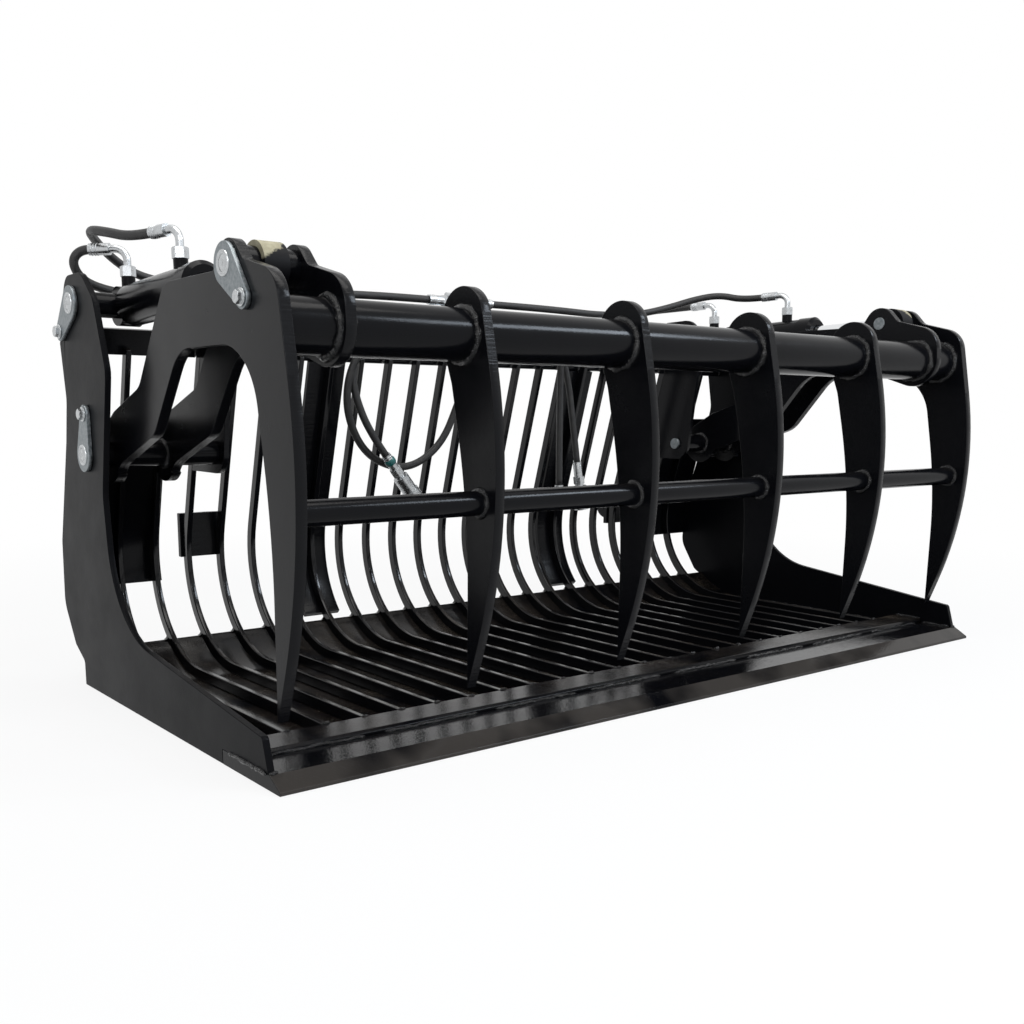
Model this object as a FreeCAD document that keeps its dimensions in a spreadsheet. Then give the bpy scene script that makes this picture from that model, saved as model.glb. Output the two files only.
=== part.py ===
import FreeCAD, Part
import math
import os
import re
import Sketcher

# Rubble grapple bucket for a loader, in millimetres.
# X runs across the bucket, Y from the cutting edge to the back, Z up.
# The origin is the middle of the bounding box on the ground.
# Outlines are drawn in side view, with Y counted from the tip of the cutting edge.

doc = FreeCAD.newDocument("RubbleGrappleBucket")
sheet = doc.addObject("Spreadsheet::Sheet", "Sizes")

# Driving dimensions
SIZES = {
    # whole bucket
    "overall_width": 2000,
    "seat_gap": 0.3,
    # side plates
    "side_plate_thickness": 12,
    "sill_front": 37,
    "sill_nose": 54,
    "sill_height": 80,
    "sill_nose_radius": 8,
    "sill_bend_depth": 662,
    "sill_bend_height": 152,
    "sill_bend_radius": 205,
    "heel_depth": 856,
    "heel_height": 50,
    "heel_radius": 12,
    "heel_slope_depth": 906,
    "heel_slope_height": 78,
    "rear_low_depth": 962,
    "rear_low_height": 160,
    "rear_high_depth": 955,
    "rear_high_height": 296,
    "rear_radius": 60,
    "rear_small_radius": 40,
    "neck_depth": 888,
    "neck_height": 505,
    "waist_depth": 870,
    "waist_height": 590,
    "shoulder_depth": 889,
    "shoulder_height": 700,
    "shoulder_radius": 16,
    "crown_depth": 856,
    "crown_height": 788,
    "crown_radius": 20,
    "ear_margin": 34,
    "ear_rise": 54,
    "ear_front_depth": 748,
    "ear_slope_depth": 688,
    "ear_slope_height": 774,
    "ear_slope_radius": 50,
    "throat_depth": 640,
    "throat_height": 640,
    "front_depth": 691,
    "front_height": 408,
    "front_radius": 90,
    # inner hinge plates
    "hinge_boss_radius": 44,
    "hinge_low_height": 440,
    "hinge_back_depth": 884,
    "hinge_back_height": 706,
    "hinge_back_radius": 6,
    "hinge_top_depth": 848,
    "hinge_top_height": 781,
    "hinge_top_radius": 14,
    "hinge_front_depth": 752,
    "hinge_front_rise": 4,
    "hinge_ear_back": 14,
    "hinge_ear_rise": 18,
    "hinge_slope_depth": 716,
    "hinge_slope_height": 746,
    "hinge_slope_radius": 24,
    # cutting edge and the strip on it
    "edge_depth": 196,
    "edge_thickness": 25,
    "edge_bevel_run": 33,
    "edge_nose": 6,
    "strip_thickness": 10,
    "strip_front": 120,
    # grid of bars: floor, bend and leaning back
    "bar_width": 12,
    "bar_depth": 22,
    "end_bar_gap": 104.7,
    "bar_count": 23,
    "floor_top": 34,
    "bend_start": 715,
    "bend_radius": 216,
    "wall_lean": 15.2,
    "wall_top": 690,
    # floor plate under the bars
    "floor_plate_thickness": 8,
    "floor_plate_turn": 40,
    "plate_leg": 6,
    # top beam
    "beam_bottom": 675,
    "beam_height": 110,
    "beam_thickness": 40,
    "beam_wall": 6,
    "beam_end_height": 50,
    "beam_end_thickness": 12,
    # corner panels with their slot
    "panel_thickness": 6,
    "panel_width": 203,
    "panel_bottom": 198,
    "panel_top": 545,
    "panel_slot_bottom": 424,
    "panel_slot_height": 20,
    "panel_slot_outer": 123,
    "panel_slot_inner": 185,
    # hinge points in side view
    "pivot_depth": 766,
    "pivot_height": 483,
    "base_pin_depth": 800,
    "base_pin_height": 773,
    "upper_pin_depth": 210,
    "upper_pin_height": 793,
    # pins, flags and their bolts
    "pin_diameter": 30,
    "pin_running_gap": 0.05,
    "pin_overhang": 7,
    "flag_thickness": 8,
    "flag_head_radius": 33,
    "flag_bolt_radius": 18,
    "flag_bolt_distance": 80,
    "flag_bolt_shank": 12,
    "flag_bolt_head": 19,
    "flag_bolt_head_height": 8,
    "flag_washer_diameter": 28,
    "flag_washer_thickness": 2.5,
    # grapple plates
    "tine_thickness": 20,
    "end_tine_gap": 33,
    "tine_count": 6,
    "arm_gap": 92,
    "inner_plate_offset": 9,
    "tine_tip_depth": 87,
    "tine_tip_height": 86,
    "tine_front": 13,
    "tine_front_height": 450,
    "tine_front_radius": 900,
    "tine_back": 88,
    "tine_back_height": 255,
    "tine_back_radius": 1300,
    "tine_lobe_radius": 57,
    "tine_lobe_depth": 110,
    "tine_lobe_height": 721,
    "ear_radius": 38,
    "arm_top": 787,
    "pivot_lobe_radius": 56,
    "inner_lobe_radius": 60,
    "tine_neck_reach": 87,
    "tine_neck_drop": 98,
    "tine_neck_radius": 60,
    "arch_foot_depth": 122,
    "arch_foot_height": 540,
    "arch_front_depth": 134,
    "arch_top": 673,
    "arch_front_radius": 120,
    "arch_back_depth": 411,
    "arch_back_radius": 95,
    "arch_slope_depth": 533,
    "arch_slope_height": 526,
    "arch_slope_radius": 70,
    "arch_end_depth": 705,
    "arch_end_height": 468,
    "arch_end_radius": 80,
    "arm_end_depth": 735,
    "arm_end_height": 566,
    "arm_end_radius": 40,
    "arm_dip_depth": 596,
    "arm_dip_height": 612,
    "arm_dip_radius": 50,
    "arm_brow_depth": 462,
    "arm_brow_radius": 55,
    "arm_ear_depth": 275,
    "ear_back_reach": 59,
    "ear_back_rise": 18,
    "ear_back_radius": 18,
    "ear_front_reach": 60,
    "ear_front_rise": 21,
    "ear_front_radius": 20,
    "rod_spacer_radius": 30,
    "barrel_spacer_radius": 24,
    # grapple tubes
    "torque_tube_diameter": 88.9,
    "torque_tube_wall": 8,
    "torque_tube_depth": 108,
    "torque_tube_height": 698,
    "lower_tube_diameter": 42.4,
    "lower_tube_wall": 4,
    "lower_tube_depth": 57,
    "lower_tube_height": 418,
    "pivot_tube_diameter": 50,
    "tube_end_gap": 1,
    # hydraulic cylinders
    "barrel_diameter": 80,
    "barrel_bore": 63,
    "barrel_length": 318,
    "barrel_base": 34,
    "barrel_bottom": 20,
    "barrel_chamfer": 3,
    "barrel_eye_radius": 38,
    "barrel_eye_width": 44,
    "gland_diameter": 84,
    "gland_length": 48,
    "gland_spigot": 25,
    "gland_chamfer": 8,
    "gland_lip": 4,
    "rod_seat": 8,
    "rod_diameter": 35,
    "rod_eye_radius": 39,
    "rod_eye_width": 44,
    "rod_eye_clearance": 9,
    "piston_length": 40,
    "piston_back": 232,
    "piston_gap": 0.05,
    # ports and elbows
    "base_port": 12,
    "rod_port": 267,
    "port_diameter": 27,
    "port_height": 16,
    "nut_width": 27,
    "elbow_diameter": 15,
    "elbow_radius": 24,
    "elbow_rise": 10,
    "ferrule_diameter": 23,
    "ferrule_length": 42,
    # hoses, the block that joins them on the beam, and their quick couplers
    "hose_diameter": 18,
    "hose_lead": 64,
    "hose_fold": 16,
    "block_width": 78,
    "block_height": 64,
    "block_centre": 33,
    "block_low_port": 18,
    "block_high_port": 46,
    "front_port_pitch": 26,
    "fitting_width": 22,
    "fitting_height": 20,
    "fitting_overlap": 3,
    "block_chamfer": 3,
    "coupler_neck": 22,
    "coupler_neck_length": 6,
    "coupler_mouth": 32,
    "coupler_mouth_depth": 32,
    "coupler_diameter": 38,
    "coupler_length": 44,
    "coupler_collar_diameter": 44,
    "coupler_collar_length": 20,
    # hitch at the back
    "hook_bar": 5,
    "hook_height": 742,
    "hook_reach": 70.7,
    "hook_radius": 21,
    "hook_rim": 24,
    "hook_plate_thickness": 25,
    "hook_foot": 590,
    "hitch_strip_width": 96,
    "hitch_strip_thickness": 12,
    "hitch_strip_turn": 48,
    "lug_bar": 8.5,
    "lug_depth": 996,
    "lug_height": 290,
    "lug_radius": 38,
    "lug_thickness": 30,
    "lug_pin_diameter": 30,
    "lug_base_height": 100,
    "lug_base_thickness": 12,
    "lug_base_width": 104,
}

# Sizes that follow from those above
FOLLOWING = {
    "overall_depth": "lug_depth + lug_radius",
    "bar_pitch": "(overall_width - 2 * side_plate_thickness - 2 * end_bar_gap) / (bar_count - 1)",
    "end_tine_outer": "overall_width / 2 - side_plate_thickness - end_tine_gap",
    "tine_pitch": "(2 * end_tine_outer - tine_thickness) / (tine_count - 1)",
    "inner_arm_outer": "end_tine_outer - tine_thickness - arm_gap",
    "cylinder_offset": "inner_arm_outer + arm_gap / 2",
}

NAMED = {**SIZES, **{alias: "=" + formula for alias, formula in FOLLOWING.items()}}
for row, (alias, amount) in enumerate(NAMED.items(), start=1):
    sheet.set("A%d" % row, alias.replace("_", " "))
    sheet.set("B%d" % row, str(amount))
    sheet.setAlias("B%d" % row, alias)
    doc.recompute()


def size(alias):
    """The value of one cell of the sheet, in millimetres or degrees."""
    return float(sheet.get(alias))


def tied(formula):
    """A formula in which each name of a cell is written with the sheet in front."""
    return re.sub(r"[a-z_]+", lambda word: "Sizes." + word[0] if word[0] in NAMED else word[0],
                  formula)


def worth(formula):
    """The number that a formula gives now."""
    return float(sheet.evalExpression(tied(formula)))


subparts = []
LEFT, RIGHT = -1, 1
SIDES = ((LEFT, "left"), (RIGHT, "right"))


def place(thing, across, back="-overall_depth / 2", up="0"):
    """Puts a sub-part in the frame by three formulas."""
    for axis, formula in (("x", across), ("y", back), ("z", up)):
        thing.setExpression("Placement.Base." + axis, tied(formula))


def near_face(side, outer, thickness):
    """Formula of the lower X of a plate whose outer face lies at outer from the middle."""
    if side == LEFT:
        return "-(%s)" % outer
    return "(%s) - (%s)" % (outer, thickness)


# Outlines

def belt(wheels):
    """Closed outline of tangent lines round a row of wheels (y, z, radius).

    The row runs anticlockwise. A radius above 0 rounds an outer corner, one below 0 an
    inner corner, and 0 is a sharp point.
    """
    count = len(wheels)
    headings = []
    for i in range(count):
        y1, z1, r1 = wheels[i]
        y2, z2, r2 = wheels[(i + 1) % count]
        distance = math.hypot(y2 - y1, z2 - z1)
        slip = max(-1.0, min(1.0, (r2 - r1) / distance))
        headings.append(math.atan2(z2 - z1, y2 - y1) - math.asin(slip))

    def rim(wheel, heading):
        y, z, r = wheel
        return FreeCAD.Vector(y + r * math.sin(heading), z - r * math.cos(heading), 0)

    pieces = []
    for i in range(count):
        wheel = wheels[i]
        coming, leaving = headings[i - 1], headings[i]
        radius = wheel[2]
        turn = math.remainder(leaving - coming, 2 * math.pi)
        if radius * turn < 0 and abs(turn) > 1e-9:
            turn += math.copysign(2 * math.pi, radius)
        if radius and abs(turn) > 1e-6:
            centre = FreeCAD.Vector(wheel[0], wheel[1], 0)
            circle = Part.Circle(centre, FreeCAD.Vector(0, 0, 1), abs(radius))
            facing = math.copysign(math.pi / 2, radius)
            first, last = coming - facing, coming - facing + turn
            if turn < 0:
                first, last = last, first
            pieces.append(Part.ArcOfCircle(circle, first, last))
        start = rim(wheel, leaving)
        end = rim(wheels[(i + 1) % count], leaving)
        if start.distanceToPoint(end) > 1e-6:
            pieces.append(Part.LineSegment(start, end))
    return pieces


def corner(before, point, after, radius, inner=False):
    """Wheel that rounds the corner at point between two neighbours."""
    y, z = point
    ways = []
    for other in (before, after):
        length = math.hypot(other[0] - y, other[1] - z)
        ways.append(((other[0] - y) / length, (other[1] - z) / length))
    middle = (ways[0][0] + ways[1][0], ways[0][1] + ways[1][1])
    length = math.hypot(*middle)
    half = math.acos(max(-1.0, min(1.0, ways[0][0] * ways[1][0] + ways[0][1] * ways[1][1]))) / 2
    reach = radius / math.sin(half) / length
    return (y + middle[0] * reach, z + middle[1] * reach, -radius if inner else radius)


def rounded(points):
    """Wheels for a row of corners (y, z, radius), run anticlockwise."""
    wheels = []
    count = len(points)
    for i, (y, z, radius) in enumerate(points):
        before, after = points[i - 1][:2], points[(i + 1) % count][:2]
        if not radius:
            wheels.append((y, z, 0))
            continue
        cross = (y - before[0]) * (after[1] - z) - (z - before[1]) * (after[0] - y)
        wheels.append(corner(before, (y, z), after, radius, inner=cross < 0))
    return wheels


# Bodies, sketches and pads

def new_body(label):
    body = doc.addObject("PartDesign::Body", label)
    body.Label = label
    subparts.append(body)
    return body


def sketch_in(body, role, name):
    """Sketch on one of the body's own origin planes."""
    sketch = body.newObject("Sketcher::SketchObject", body.Label + "_" + name)
    plane = [f for f in body.Origin.OriginFeatures if f.Role == role][0]
    sketch.AttachmentSupport = [(plane, "")]
    sketch.MapMode = "FlatFace"
    return sketch


def ring(sketch, across, up, radius):
    """Circle in a sketch, its centre and radius tied to the sheet."""
    middle = FreeCAD.Vector(worth(across), worth(up), 0)
    circle = Part.Circle(middle, FreeCAD.Vector(0, 0, 1), worth(radius))
    index = sketch.addGeometry(circle, False)
    rules = (("Radius", radius), ("DistanceX", across), ("DistanceY", up))
    for kind, formula in rules:
        amount = worth(formula)
        if kind == "Radius":
            rule = Sketcher.Constraint(kind, index, amount)
        else:
            rule = Sketcher.Constraint(kind, -1, 1, index, 3, amount)
        number = sketch.addConstraint(rule)
        if abs(amount) > 0:
            sketch.setExpression("Constraints[%d]" % number, tied(formula))
    return index


def pad(body, sketch, length, name="plate", both_ways=False):
    feature = body.newObject("PartDesign::Pad", body.Label + "_" + name)
    feature.Profile = sketch
    feature.setExpression("Length", tied(length))
    feature.Midplane = both_ways
    sketch.Visibility = False
    return feature


def cut(body, sketch, length, name="cut"):
    feature = body.newObject("PartDesign::Pocket", body.Label + "_" + name)
    feature.Profile = sketch
    feature.setExpression("Length", tied(length))
    feature.Reversed = True
    return feature


def side_plate_body(label, wheels, thickness, across, holes=()):
    """Plate whose outline is seen from the side, with round holes (y, z, radius)."""
    body = new_body(label)
    sketch = sketch_in(body, "YZ_Plane", "outline")
    sketch.addGeometry(belt(wheels), False)
    for along, up, radius in holes:
        ring(sketch, along, up, radius)
    pad(body, sketch, thickness)
    place(body, across)
    return body


# Lines that several pieces follow

lean = math.radians(size("wall_lean"))
bend_centre = (size("bend_start"), size("floor_top") + size("bend_radius"))


def wall_point(offset, height):
    """Point behind the leaning front of the bars, measured square to it."""
    foot_y = bend_centre[0] + size("bend_radius") * math.cos(lean)
    foot_z = bend_centre[1] + size("bend_radius") * math.sin(lean)
    along = (height - foot_z) / math.cos(lean)
    front = (foot_y - along * math.sin(lean), foot_z + along * math.cos(lean))
    return (front[0] + offset * math.cos(lean), front[1] + offset * math.sin(lean))


def bend_point(offset, turn, leg):
    """Point behind the bend, by the degrees turned since the floor, and out on a straight leg."""
    radius = size("bend_radius") + offset
    angle = math.radians(turn)
    return (bend_centre[0] + radius * math.sin(angle) + leg * math.cos(angle),
            bend_centre[1] - radius * math.cos(angle) + leg * math.sin(angle))


def band(near, far, first, last):
    """Wheels of a strip that follows the bars between two offsets.

    first and last give the two end points, each as a function of the offset.
    """
    radius = size("bend_radius")
    return [
        (*first(far), 0),
        (*bend_centre, radius + far),
        (*last(far), 0),
        (*last(near), 0),
        (*bend_centre, -radius - near),
        (*first(near), 0),
    ]


def floor_end(distance):
    return lambda offset: (distance, size("floor_top") - offset)


def turn_end(turn, leg):
    return lambda offset: bend_point(offset, turn, leg)


def wall_end(height):
    return lambda offset: wall_point(offset, height)


rear = size("bar_depth") + size("seat_gap")

# Cutting edge and front strip

def cutting_edge():
    body = new_body("cutting_edge")
    sketch = sketch_in(body, "YZ_Plane", "section")
    depth, high = size("edge_depth"), size("edge_thickness")
    sketch.addGeometry(belt([
        (0, 0, 0),
        (depth, 0, 0),
        (depth, high, 0),
        (size("edge_bevel_run"), high, 0),
        (0, size("edge_nose"), 0),
    ]), False)
    pad(body, sketch, "overall_width")
    place(body, "-overall_width / 2")


def front_strip():
    body = new_body("front_strip")
    sketch = sketch_in(body, "YZ_Plane", "section")
    low = size("edge_thickness") + size("seat_gap") / 3
    high = low + size("strip_thickness")
    front, back = size("strip_front"), size("edge_depth")
    slope = size("strip_thickness") / 2
    sketch.addGeometry(belt([
        (front, low, 0),
        (back, low, 0),
        (back, high, 0),
        (front + slope, high, 0),
        (front, high - slope, 0),
    ]), False)
    pad(body, sketch, "overall_width - 2 * side_plate_thickness - 2 * seat_gap")
    place(body, "-overall_width / 2 + side_plate_thickness + seat_gap")


# Floor plate, bars and back

def floor_plate():
    near = rear
    far = near + size("floor_plate_thickness")
    start = floor_end(size("edge_depth") + size("seat_gap"))
    body = new_body("floor_plate")
    sketch = sketch_in(body, "YZ_Plane", "section")
    end = turn_end(size("floor_plate_turn"), size("plate_leg"))
    sketch.addGeometry(belt(band(near, far, start, end)), False)
    pad(body, sketch, "overall_width - 2 * side_plate_thickness - 2 * seat_gap")
    place(body, "-overall_width / 2 + side_plate_thickness + seat_gap")


def grid_bars():
    """Flat bars on edge, bent once, side by side over the floor and up the back."""
    start = floor_end(size("edge_depth") + size("seat_gap"))
    body = new_body("grid_bars")
    body.AllowCompound = True
    sketch = sketch_in(body, "YZ_Plane", "side_view")
    outline = belt(band(0, size("bar_depth"), start, wall_end(size("wall_top"))))
    sketch.addGeometry(outline, False)
    bar = pad(body, sketch, "bar_width", "bar")
    doc.recompute()
    row = body.newObject("PartDesign::LinearPattern", "grid_bars_row")
    row.Originals = [bar]
    row.Direction = (sketch, ["N_Axis"])
    row.setExpression("Length", tied("bar_pitch * (bar_count - 1)"))
    row.setExpression("Occurrences", tied("bar_count"))
    body.Tip = row
    place(body, "-bar_pitch * (bar_count - 1) / 2 - bar_width / 2")


def top_beam():
    """Closed box section across the back, leaning with it, between the inner plates."""
    body = new_body("top_beam")
    sketch = sketch_in(body, "YZ_Plane", "section")
    deep, high, wall = size("beam_thickness"), size("beam_height"), size("beam_wall")

    def box(inset):
        corners = []
        for offset, rise in ((0, 0), (deep, 0), (deep, high), (0, high)):
            offset += inset if offset == 0 else -inset
            rise += inset if rise == 0 else -inset
            low = wall_point(rear + offset, size("beam_bottom"))
            corners.append((low[0] - rise * math.sin(lean), low[1] + rise * math.cos(lean),
                            wall + 2 - inset))
        return rounded(corners)

    sketch.addGeometry(belt(box(0)), False)
    sketch.addGeometry(belt(box(wall)), False)
    inner = "bar_pitch * inner_plate_offset - bar_width / 2 - seat_gap"
    pad(body, sketch, "2 * (%s)" % inner)
    place(body, "-(%s)" % inner)


def beam_end_plates():
    """Low plates that carry the beam's lower edge on to the side plates, one a side."""
    deep, high = size("beam_end_thickness"), size("beam_end_height")
    inner = "bar_pitch * inner_plate_offset + bar_width / 2 + seat_gap"
    length = "overall_width / 2 - side_plate_thickness - seat_gap - (%s)" % inner
    for side, name in SIDES:
        low = size("beam_bottom")
        points = [
            (*wall_point(rear, low), 0),
            (*wall_point(rear + deep, low), 0),
            (*wall_point(rear + deep, low + high), 0),
            (*wall_point(rear, low + high), 0),
        ]
        body = new_body("beam_end_plate_" + name)
        sketch = sketch_in(body, "YZ_Plane", "section")
        sketch.addGeometry(belt(points), False)
        pad(body, sketch, length)
        outer = "overall_width / 2 - side_plate_thickness - seat_gap"
        place(body, near_face(side, outer, length))


def corner_panel(side, name):
    """Thin plate behind the outer bars, with one slot."""
    near, far = rear, rear + size("panel_thickness")
    low_turn = 90 - math.degrees(math.asin((bend_centre[1] - size("panel_bottom"))
                                           / (size("bend_radius") + near)))
    body = new_body("corner_panel_" + name)
    sketch = sketch_in(body, "YZ_Plane", "section")
    start = turn_end(low_turn, -size("plate_leg"))
    outline = band(near, far, start, wall_end(size("panel_top")))
    sketch.addGeometry(belt(outline), False)
    pad(body, sketch, "panel_width - seat_gap")
    outer = "overall_width / 2 - side_plate_thickness - seat_gap"
    start = near_face(side, outer, "panel_width - seat_gap")
    slot = sketch_in(body, "XZ_Plane", "slot")
    bottom, high = size("panel_slot_bottom"), size("panel_slot_height")
    ends = [size("panel_slot_outer"), size("panel_slot_inner")]
    if side == RIGHT:
        ends = [size("panel_width") - end for end in reversed(ends)]
    slot.addGeometry(belt([
        (ends[0], bottom, 0),
        (ends[1], bottom, 0),
        (ends[1], bottom + high, 0),
        (ends[0], bottom + high, 0),
    ]), False)
    cut(body, slot, "overall_depth", "slot_cut")
    place(body, start)


# Side plates and inner hinge plates

def side_plate(side, name):
    """End wall: low sill in front, curved up to a tall ear that holds both pins."""
    on_edge = size("edge_thickness") + size("seat_gap")
    behind_edge = size("edge_depth") + size("seat_gap")
    base_y, base_z = size("base_pin_depth"), size("base_pin_height")
    wide, small, margin = size("rear_radius"), size("rear_small_radius"), size("ear_margin")
    wheels = rounded([
        (size("sill_front"), on_edge, 0),
        (behind_edge, on_edge, 0),
        (behind_edge, 0, 0),
        (size("heel_depth"), 0, 0),
        (size("heel_depth"), size("heel_height"), size("heel_radius")),
        (size("heel_slope_depth"), size("heel_slope_height"), small),
        (size("rear_low_depth"), size("rear_low_height"), wide),
        (size("rear_high_depth"), size("rear_high_height"), small),
        (size("neck_depth"), size("neck_height"), wide),
        (size("waist_depth"), size("waist_height"), wide),
        (size("shoulder_depth"), size("shoulder_height"), size("shoulder_radius")),
        (size("crown_depth"), size("crown_height"), size("crown_radius")),
        (base_y + margin, base_z + size("ear_rise"), margin),
        (size("ear_front_depth"), base_z + size("ear_rise"), size("ear_slope_radius")),
        (size("ear_slope_depth"), size("ear_slope_height"), size("ear_slope_radius")),
        (size("throat_depth"), size("throat_height"), wide),
        (size("front_depth"), size("front_height"), size("front_radius")),
        (size("sill_bend_depth"), size("sill_bend_height"), size("sill_bend_radius")),
        (size("sill_nose"), size("sill_height"), size("sill_nose_radius")),
    ])
    running = "pin_diameter / 2 + pin_running_gap"
    bolt = "flag_bolt_shank / 2 + seat_gap"
    across = near_face(side, "overall_width / 2", "side_plate_thickness")
    holes = [
        ("pivot_depth", "pivot_height", running),
        ("base_pin_depth", "base_pin_height", running),
    ]
    for pin in ("pivot", "base_pin"):
        holes.append(flag_bolt_place(pin) + (bolt,))
    side_plate_body("side_plate_" + name, wheels, "side_plate_thickness", across, holes)


def inner_hinge_plate(side, name):
    """Bracket in line with a bar, which holds the inner ends of both pins."""
    gap = size("seat_gap")
    bar_end = size("wall_top") + 2 * gap
    base_y, base_z = size("base_pin_depth"), size("base_pin_height")
    wheels = [
        (size("pivot_depth"), size("pivot_height"), size("hinge_boss_radius")),
        (*wall_point(-gap, size("hinge_low_height")), 0),
        (*wall_point(-gap, bar_end), 0),
        (*wall_point(rear, bar_end), 0),
        (size("hinge_back_depth"), size("hinge_back_height"), size("hinge_back_radius")),
        (size("hinge_top_depth"), size("hinge_top_height"), size("hinge_top_radius")),
        (base_y + size("hinge_ear_back"), base_z + size("hinge_ear_rise"),
         size("ear_margin")),
        (size("hinge_front_depth"), base_z + size("hinge_front_rise"),
         size("ear_slope_radius")),
        (size("hinge_slope_depth"), size("hinge_slope_height"), size("hinge_slope_radius")),
    ]
    running = "pin_diameter / 2 + pin_running_gap"
    line = "bar_pitch * inner_plate_offset + bar_width / 2"
    across = near_face(side, line, "bar_width")
    side_plate_body("inner_hinge_plate_" + name, wheels, "bar_width", across, [
        ("pivot_depth", "pivot_height", running),
        ("base_pin_depth", "base_pin_height", running),
    ])


# Pins with flags, and their bolts

FLAG_TURN = {"pivot": 100.0, "base_pin": -39.0, "upper_pin": -137.0}


def flag_bolt_place(pin):
    """Formulas of a flag bolt's place, out from its pin at the flag's angle."""
    angle = math.radians(FLAG_TURN[pin])
    along = "%s_depth + flag_bolt_distance * %.6f" % (pin, math.cos(angle))
    up = "%s_height + flag_bolt_distance * %.6f" % (pin, math.sin(angle))
    return along, up


def pin_with_flag(label, pin, side, plate_face, inner_end):
    """Pin welded into a flag plate that one bolt holds against the outer face."""
    along, up = flag_bolt_place(pin)
    centre = (size(pin + "_depth"), size(pin + "_height"), size("flag_head_radius"))
    tail = (worth(along), worth(up), size("flag_bolt_radius"))
    body = new_body(label)
    flag = sketch_in(body, "YZ_Plane", "flag")
    flag.addGeometry(belt([centre, tail]), False)
    ring(flag, along, up, "flag_bolt_shank / 2 + seat_gap")
    flag_pad = pad(body, flag, "flag_thickness", "flag_plate")
    flag_pad.Reversed = side == RIGHT
    shaft = sketch_in(body, "YZ_Plane", "pin")
    ring(shaft, pin + "_depth", pin + "_height", "pin_diameter / 2")
    reach = "(%s) + seat_gap + flag_thickness - (%s)" % (plate_face, inner_end)
    shaft_pad = pad(body, shaft, reach, "pin")
    shaft_pad.Reversed = side == RIGHT
    face = "(%s) + seat_gap + flag_thickness" % plate_face
    place(body, "-(%s)" % face if side == LEFT else face)


def flag_bolts(label, bolts, plate_face, grip):
    """Hexagon bolts with washers that hold the flags, one for each entry (side, pin)."""
    solids = []
    head_high = size("flag_bolt_head_height")
    washer = size("flag_washer_thickness")
    face = worth(plate_face) + size("seat_gap") + size("flag_thickness")
    for side, pin in bolts:
        along, up = flag_bolt_place(pin)
        y, z = worth(along) - size("overall_depth") / 2, worth(up)
        out = FreeCAD.Vector(side, 0, 0)
        seat = FreeCAD.Vector(side * face, y, z)
        disc = Part.makeCylinder(size("flag_washer_diameter") / 2, washer, seat, out)
        head = hexagon(size("flag_bolt_head"), head_high, seat + out * washer, out)
        length = worth(grip) + size("flag_thickness") + washer
        shank = Part.makeCylinder(size("flag_bolt_shank") / 2, length,
                                  seat + out * washer, out * -1)
        solids.append(disc.fuse([head, shank]).removeSplitter().Solids[0])
    return loose(label, solids)


def hexagon(width, height, base, way):
    """Hexagon prism by its width across flats, with the corners turned off."""
    radius = width / math.sqrt(3)
    points = []
    for i in range(7):
        angle = math.radians(60 * i)
        points.append(FreeCAD.Vector(radius * math.cos(angle), radius * math.sin(angle), 0))
    prism = Part.Face(Part.makePolygon(points)).extrude(FreeCAD.Vector(0, 0, height))
    top = width / 2 * 0.97
    slope = height / math.tan(math.radians(30))
    prism = prism.common(Part.makeCone(top + slope, top, height))
    turn = FreeCAD.Rotation(FreeCAD.Vector(0, 0, 1), way)
    prism.Placement = FreeCAD.Placement(base, turn)
    return prism


def loose(label, solids):
    """Sub-part of one or more solids made with Part's own functions."""
    item = doc.addObject("Part::Feature", label)
    item.Label = label
    item.Shape = Part.makeCompound(solids) if len(solids) > 1 else solids[0]
    item.Placement = FreeCAD.Placement()
    subparts.append(item)
    return item


def sleeve(label, depth, height, outer, bore, start, length):
    """Round tube across the bucket, with its ends and radii tied to the sheet."""
    body = new_body(label)
    sketch = sketch_in(body, "YZ_Plane", "section")
    ring(sketch, depth, height, outer)
    ring(sketch, depth, height, bore)
    pad(body, sketch, length, "tube")
    place(body, start)
    return body


# Grapple: tines, arms and tubes

tube_hole = "torque_tube_diameter / 2 + seat_gap"
lower_hole = "lower_tube_diameter / 2 + seat_gap"


def tine_front_wheel():
    """The long front arc of a tine, as a wheel."""
    radius = size("tine_front_radius")
    return (size("tine_front") + radius, size("tine_front_height"), radius)


def tine_back_wheel():
    """The hollow rear arc of a tine."""
    radius = size("tine_back_radius")
    return (size("tine_back") + radius, size("tine_back_height"), -radius)


def tine_wheels():
    """Middle tine: curved claw with a round lobe over the torque tube."""
    lobe = size("tine_lobe_radius")
    return [
        (size("tine_tip_depth"), size("tine_tip_height"), 0),
        tine_back_wheel(),
        (size("torque_tube_depth") + size("tine_neck_reach"),
         size("torque_tube_height") - size("tine_neck_drop"), -size("tine_neck_radius")),
        (size("torque_tube_depth"), size("torque_tube_height"), lobe),
        (size("tine_lobe_depth"), size("tine_lobe_height"), lobe),
        tine_front_wheel(),
    ]


def arch_wheels():
    """Lower edge of an arm, from the tine over the arch to the pivot."""
    high = size("arch_top")
    return rounded([
        (size("arch_foot_depth"), size("arch_foot_height"), 0),
        (size("arch_front_depth"), high, size("arch_front_radius")),
        (size("arch_back_depth"), high, size("arch_back_radius")),
        (size("arch_slope_depth"), size("arch_slope_height"), size("arch_slope_radius")),
        (size("arch_end_depth"), size("arch_end_height"), size("arch_end_radius")),
        (size("pivot_depth"), size("pivot_height") - size("pivot_lobe_radius"), 0),
    ])[1:-1]


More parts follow.
